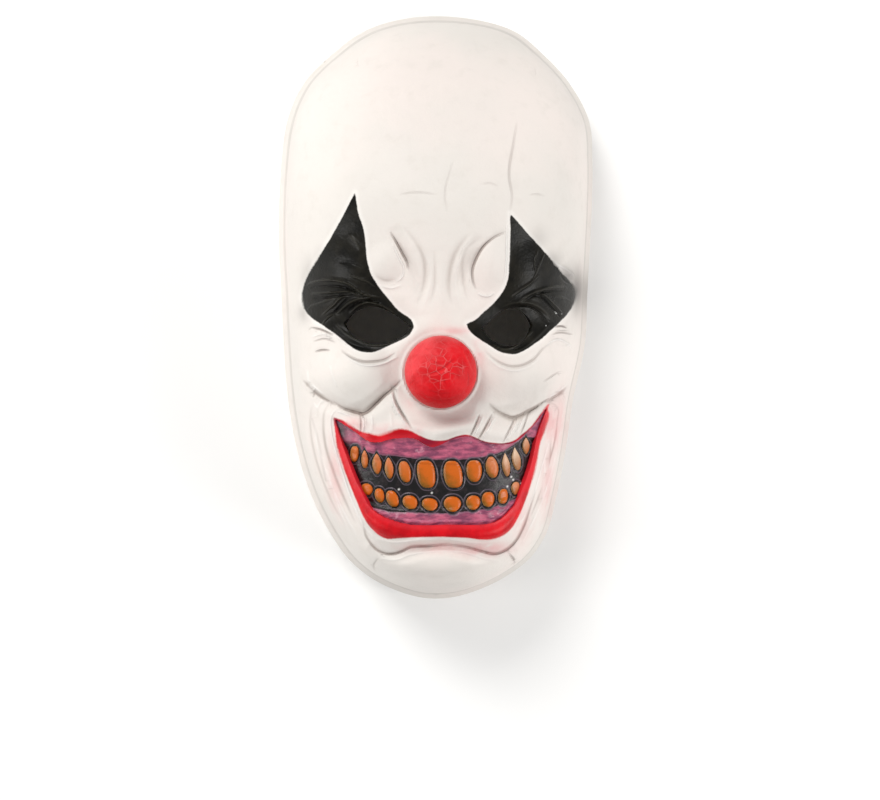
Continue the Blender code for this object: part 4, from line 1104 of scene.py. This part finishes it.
class Paint:
    """One material's nodes. Its shader's plain values are set at the start."""

    def __init__(self, name, **plain):
        self.material = bpy.data.materials.new(name)
        self.material.use_nodes = True
        self.tree = self.material.node_tree
        self.shader = self.tree.nodes["Principled BSDF"]
        for label, value in plain.items():
            self.shader.inputs[label.replace("_", " ")].default_value = value
        self.place = self.node("ShaderNodeTexCoord", {}, {}, "Object")

    def node(self, kind, settings, values, output=0):
        """A node of this type: its settings first, then values or links by the name or place of a socket."""
        made = self.tree.nodes.new(kind)
        for label, value in settings.items():
            setattr(made, label, value)
        pairs = values.items() if isinstance(values, dict) else enumerate(values)
        for label, value in pairs:
            if isinstance(value, Level):
                self.tree.links.new(value.socket, made.inputs[label])
            elif value is not None:
                made.inputs[label].default_value = value
        return Level(self, made.outputs[output])

    def field(self, name):
        return self.node("ShaderNodeAttribute", {"attribute_name": name}, {}, "Fac")

    def along(self, axis):
        """The place along one axis, in metres."""
        return self.node("ShaderNodeSeparateXYZ", {}, [self.place], axis)

    def noise(self, per_metre, detail=2.0, roughness=0.5, stretch=None):
        place = self.place
        if stretch:
            place = self.node("ShaderNodeMapping", {}, {"Vector": place, "Scale": stretch})
        values = {"Vector": place, "Scale": per_metre, "Detail": detail, "Roughness": roughness}
        return self.node("ShaderNodeTexNoise", {}, values)

    def cells(self, per_metre, feature="F1"):
        return self.node("ShaderNodeTexVoronoi", {"feature": feature}, {"Vector": self.place, "Scale": per_metre})

    def between(self, value, low, high):
        """0 below low, 1 above high and smooth between them. low may be the higher one."""
        settings = {"interpolation_type": "SMOOTHSTEP"}
        if low < high:
            return self.node("ShaderNodeMapRange", settings, {"Value": value, "From Min": low, "From Max": high})
        ends = {"Value": value, "From Min": high, "From Max": low, "To Min": 1.0, "To Max": 0.0}
        return self.node("ShaderNodeMapRange", settings, ends)

    def mix(self, share, first, second):
        """From the first colour to the second."""
        made = self.tree.nodes.new("ShaderNodeMix")
        made.data_type = "RGBA"
        for socket, value in zip((made.inputs[0], made.inputs[6], made.inputs[7]), (share, first, second)):
            if isinstance(value, Level):
                self.tree.links.new(value.socket, socket)
            else:
                socket.default_value = value if isinstance(value, float) else (*value, 1.0)
        return Level(self, made.outputs[2])

    def bump(self, height, distance, strength=1.0, under=None):
        values = {"Height": height, "Distance": distance, "Strength": strength, "Normal": under}
        return self.node("ShaderNodeBump", {}, values)

    def finish(self, piece, **links):
        for label, value in links.items():
            self.tree.links.new(value.socket, self.shader.inputs[label.replace("_", " ")])
        piece.data.materials.clear()
        piece.data.materials.append(self.material)


def paint_face(piece):
    """White latex with airbrushed black patches and red lips, painted shade in its folds and painted highlights on its
    ridges, and a few specks.
    """
    paint = Paint("painted_white_latex", Specular_IOR_Level=0.14, Coat_Roughness=0.25)
    black, red, groove, mouth = (paint.field(name) for name in ("black", "red", "groove", "mouth_edge"))
    broad, fine, grain = paint.noise(14, 3), paint.noise(120, 4, 0.6), paint.noise(900, 3, 0.6)
    crease = paint.between(paint.field("crease").absolute(), 1.0, 0.1) * paint.field("crease_depth")
    ridge = paint.between(paint.field("ridge").absolute(), 1.1, 0.0) * paint.field("ridge_height")
    ragged = (fine - 0.5) * 0.9 + (grain - 0.5) * 0.5
    white = paint.mix(paint.between(broad, 0.35, 0.68), (0.72, 0.685, 0.645), (0.78, 0.715, 0.675))
    white = paint.mix(paint.between(fine, 0.50, 0.78) * 0.25, white, (0.62, 0.58, 0.53))
    # Painted highlight: a lighter band just outside the black patches' edges.
    white = paint.mix(paint.between(black, 2.6, 0.6) * 0.35, white, (0.88, 0.86, 0.83))
    # Painted highlight: lighter along the ridges.
    white = paint.mix(ridge * 0.80, white, (0.90, 0.885, 0.86))
    # Painted shade: darker in the grooves.
    white = paint.mix(paint.between(groove, 0.03, 1.1) * 0.55, white, (0.40, 0.34, 0.30))
    # Painted shade: dark thin lines along the creases.
    white = paint.mix(crease * 0.75, white, (0.22, 0.165, 0.145))
    white = paint.mix(paint.between(fine + (broad - 0.5) * 0.6, 0.20, 0.62) * paint.field("pink"), white, (0.74, 0.15, 0.18))
    # Grey: faded paint beside the black patches, and painted shade on the cheeks and under the chin.
    white = paint.mix(paint.field("grey_fade_and_shade"), white, (0.10, 0.085, 0.08))
    specks = paint.between(paint.cells(60), 0.055, 0.035) * paint.between(paint.noise(30, 2), 0.60, 0.66)
    white = paint.mix(specks * 0.6, white, (0.35, 0.29, 0.25))
    # Painted shade: a darker band on the wall just above the rim, along its flare.
    height = paint.along("Z")
    rim_line = paint.between(height, 0.0035, 0.0055) * paint.between(height, 0.016, 0.009)
    white = paint.mix(rim_line * 0.30, white, (0.36, 0.34, 0.31))
    dark = paint.mix(paint.between(fine, 0.3, 0.75), (0.004, 0.0038, 0.0030), (0.013, 0.0115, 0.0080))
    # Painted highlight: grey along the ridges of the black paint.
    dark = paint.mix(ridge * 0.60, dark, (0.058, 0.055, 0.043))
    # Painted shade: darker still along the creases of the black paint.
    dark = paint.mix(crease * 0.8, dark, (0.003, 0.003, 0.003))
    thin = paint.field("thin")
    is_black = paint.between((black + ragged * (1.0 + thin * 2.0)) * (1.0 - thin * 0.86), 0.35, -0.25)
    crimson = paint.mix(paint.between(fine + broad * 0.5, 0.55, 0.95), (0.44, 0.003, 0.008), (0.68, 0.006, 0.013))
    # Painted highlight: lighter, pinker red near the mouth's edge.
    crimson = paint.mix(paint.between(mouth, 3.2, 0.4) * 0.35, crimson, (0.78, 0.045, 0.065))
    crimson = paint.mix(paint.field("crimson"), crimson, (0.20, 0.010, 0.030))
    soft = paint.field("soft")
    is_red = paint.between((red + ragged * (soft * 1.6 + 0.6)) * (1.0 - soft * 0.72), 0.40, -0.40)
    colour = paint.mix(is_black, white, dark)
    colour = paint.mix(is_red, colour, crimson)
    unpainted = paint.mix(paint.between(fine, 0.3, 0.7), (0.62, 0.54, 0.42), (0.70, 0.62, 0.50))
    colour = paint.mix(paint.field("outside"), unpainted, colour)
    colour = paint.mix(paint.between(paint.field("glint"), 0.62, 0.30), colour, (0.90, 0.90, 0.88))
    shine = 0.48 + (fine - 0.5) * 0.16 - is_black * 0.14 - is_red * 0.16
    skin = paint.bump(ridge - crease, 0.0011, 0.8)
    skin = paint.bump(paint.noise(260, 3), 0.0006, 0.30, skin)
    skin = paint.bump(grain, 0.00022, 0.5, skin)
    paint.finish(piece, Base_Color=colour, Roughness=shine, Normal=skin)


def paint_teeth(piece):
    """Glossy black round orange teeth, and mauve gums with brushed streaks."""
    paint = Paint("painted_teeth", Specular_IOR_Level=0.35)
    tooth, gum, u, v = (paint.field(name) for name in ("tooth", "gum", "tooth_u", "tooth_v"))
    fine, streaks, grain = paint.noise(260, 4, 0.6), paint.noise(150, 4, 0.6, (1.0, 3.0, 1.0)), paint.noise(1100, 2)
    black = paint.mix(paint.between(fine, 0.45, 0.8), (0.004, 0.0035, 0.004), (0.030, 0.019, 0.022))
    mauve = paint.mix(paint.between(streaks, 0.35, 0.65), (0.20, 0.048, 0.100), (0.52, 0.115, 0.195))
    mauve = paint.mix(paint.field("plum") * 0.8, mauve, (0.12, 0.040, 0.075))
    mauve = paint.mix(paint.between(fine, 0.60, 0.72) * 0.4, mauve, (0.68, 0.36, 0.44))
    gum_edge = gum + (fine - 0.5) * 1.6
    colour = paint.mix(paint.between(gum_edge, -0.1, 0.35), black, mauve)
    colour = paint.mix(paint.between((gum_edge - 0.35).absolute(), 0.45, 0.05) * 0.55, colour, (0.16, 0.11, 0.15))
    collar = paint.between((tooth + (fine - 0.5) * 0.5 - 1.25).absolute(), 0.42, 0.10)
    colour = paint.mix(collar * 0.6, colour, (0.15, 0.115, 0.15))
    colour = paint.mix(paint.between(tooth, 0.95, 0.55), colour, (0.010, 0.008, 0.008))
    colour = paint.mix(paint.field("corner"), colour, (0.016, 0.012, 0.014))
    stain = paint.between(u * 0.8 + v * 0.55 + (fine - 0.5) * 1.6, 0.20, -1.05)
    orange = paint.mix(stain, (0.57, 0.112, 0.003), (0.22, 0.090, 0.004))
    pale = paint.mix(paint.between(v, -0.6, 0.9), (0.34, 0.17, 0.07), (0.78, 0.62, 0.44))
    orange = paint.mix(paint.field("cream"), orange, pale)
    rim = paint.between(tooth, -0.55, -0.10) * paint.between(u - v * 0.4, 0.1, -0.7)
    orange = paint.mix(rim * 0.55, orange, (0.62, 0.36, 0.14))
    colour = paint.mix(paint.between(tooth + (grain - 0.5) * 0.3, 0.05, -0.2), colour, orange)
    colour = paint.mix(paint.field("glint"), colour, (0.85, 0.83, 0.80))
    shine = 0.22 + fine * 0.26
    wet = paint.bump(fine, 0.0006, 0.5)
    wet = paint.bump(streaks, 0.0008, 0.35, wet)
    paint.finish(piece, Base_Color=colour, Roughness=shine, Normal=wet)


def paint_nose(piece):
    """Red latex, pinker on its ridges and towards its upper left, with painted shade on its lower side and in its
    grooves.
    """
    paint = Paint("red_nose_latex", Specular_IOR_Level=0.16)
    fine, grain, broad = paint.noise(300, 5, 0.65), paint.noise(1200, 3, 0.6), paint.noise(70, 3)
    x, y = paint.along("X"), paint.along("Y") - NOSE_Y
    middle = paint.between(x.absolute() * 70 + (y - 0.002).absolute() * 70 + (broad - 0.5) * 1.5, 1.15, 0.35)
    veins = paint.between(paint.cells(230, "DISTANCE_TO_EDGE") + (fine - 0.5) * 0.16, 0.07, 0.0) * middle
    red = paint.mix(paint.between(broad, 0.35, 0.65), (0.55, 0.002, 0.006), (0.70, 0.005, 0.011))
    # Pinker towards the upper left.
    upper_left_pink = paint.between(y * 60 - x * 55 + (broad - 0.5) * 2.0 + (fine - 0.5) * 1.6, 0.15, 1.5)
    red = paint.mix(upper_left_pink * 0.60, red, (0.84, 0.105, 0.115))
    # Painted shade: darker red on the lower side.
    red = paint.mix(paint.between(y * 60, -0.35, -1.0) * 0.55, red, (0.42, 0.004, 0.007))
    red = paint.mix(paint.field("ridge") * 0.35, red, (0.86, 0.10, 0.10))
    red = paint.mix(veins * 0.45, red, (0.90, 0.22, 0.22))
    # Painted shade: darker red in the grooves.
    red = paint.mix(paint.between(paint.field("groove"), 0.03, 0.3) * 0.5, red, (0.32, 0.003, 0.006))
    colour = paint.mix(paint.field("outside"), (0.62, 0.54, 0.42), red)
    shine = 0.34 + fine * 0.2
    skin = paint.bump(grain, 0.0003, 0.5)
    skin = paint.bump(fine, 0.0009, 0.45, skin)
    skin = paint.bump(veins, 0.0005, 0.7, skin)
    paint.finish(piece, Base_Color=colour, Roughness=shine, Normal=skin)


def paint_strap(piece):
    """Black elastic: ribs along it and a close weave across them."""
    paint = Paint("black_elastic", Specular_IOR_Level=0.3)
    along, across, fine = paint.field("along"), paint.field("across"), paint.noise(700, 3)
    rows = paint.node("ShaderNodeMath", {"operation": "SINE"}, [along * (2 * pi / 0.9)])
    ribs = paint.node("ShaderNodeMath", {"operation": "SINE"}, [across * (2 * pi / 0.75)])
    weave = rows * ribs * 0.5 + 0.5
    colour = paint.mix(weave, (0.008, 0.008, 0.009), (0.035, 0.034, 0.036))
    colour = paint.mix(fine * 0.4, colour, (0.05, 0.048, 0.046))
    paint.finish(piece, Base_Color=colour, Roughness=0.72 + fine * 0.2, Normal=paint.bump(weave, 0.0004, 0.8))


def make_floor():
    """A plain pale floor."""
    half = 3.0
    mesh = bpy.data.meshes.new("pale_floor")
    mesh.from_pydata([(-half, -half, 0), (half, -half, 0), (half, half, 0), (-half, half, 0)], [], [(0, 1, 2, 3)])
    floor = bpy.data.objects.new("pale_floor", mesh)
    bpy.context.scene.collection.objects.link(floor)
    material = bpy.data.materials.new("pale_floor")
    material.use_nodes = True
    shader = material.node_tree.nodes["Principled BSDF"]
    shader.inputs["Base Color"].default_value = (0.93, 0.93, 0.925, 1)
    shader.inputs["Roughness"].default_value = 0.8
    mesh.materials.append(material)


def make_light(name, place, size, power, colour):
    """A soft square lamp that faces the middle of the mask."""
    lamp = bpy.data.lights.new(name, "AREA")
    lamp.energy, lamp.size, lamp.color = power, size, colour
    holder = bpy.data.objects.new(name, lamp)
    holder.location = place
    bpy.context.scene.collection.objects.link(holder)
    aim = np.array([0.0, 0.0, 0.05]) - np.array(place)
    turn = np.arctan2(-aim[0], aim[1])
    tilt = np.arccos(-aim[2] / np.linalg.norm(aim))
    holder.rotation_euler = (tilt, 0, turn)
    return holder


def make_studio():
    """Soft light from above and from both sides, under a pale sky."""
    world = bpy.data.worlds.new("studio")
    bpy.context.scene.world = world
    world.use_nodes = True
    world.node_tree.nodes["Background"].inputs["Color"].default_value = (1, 1, 1, 1)
    world.node_tree.nodes["Background"].inputs["Strength"].default_value = 0.47
    make_light("key_light", (-0.55, 0.85, 1.10), 0.6, 13.5, (1.0, 0.985, 0.965))
    make_light("right_light", (1.10, -0.40, 0.60), 0.6, 9, (1.0, 0.99, 0.975))
    make_light("left_light", (-1.15, -0.30, 0.38), 0.5, 5, (1.0, 0.99, 0.975))
    bpy.context.scene.view_settings.view_transform = "Standard"


def make_camera():
    """A camera over the mask, turned a little to its right, whose film is the picture's width."""
    lens = bpy.data.cameras.new("camera")
    lens.sensor_width = FILM_WIDTH
    lens.lens = FILM_WIDTH * CAMERA_HEIGHT / (POINT_SIZE * PICTURE_WIDTH)
    lens.clip_end = 10
    camera = bpy.data.objects.new("camera", lens)
    x = VIEW_CENTRE[0] - CAMERA_HEIGHT * np.sin(CAMERA_TURN)
    camera.location = (x, VIEW_CENTRE[1], CAMERA_HEIGHT * np.cos(CAMERA_TURN))
    camera.rotation_euler = (0, -CAMERA_TURN, 0)
    bpy.context.scene.collection.objects.link(camera)
    bpy.context.scene.camera = camera


make_camera()
paint_face(make_face())
paint_teeth(make_teeth())
paint_nose(make_nose())
paint_strap(make_strap())
make_floor()
make_studio()
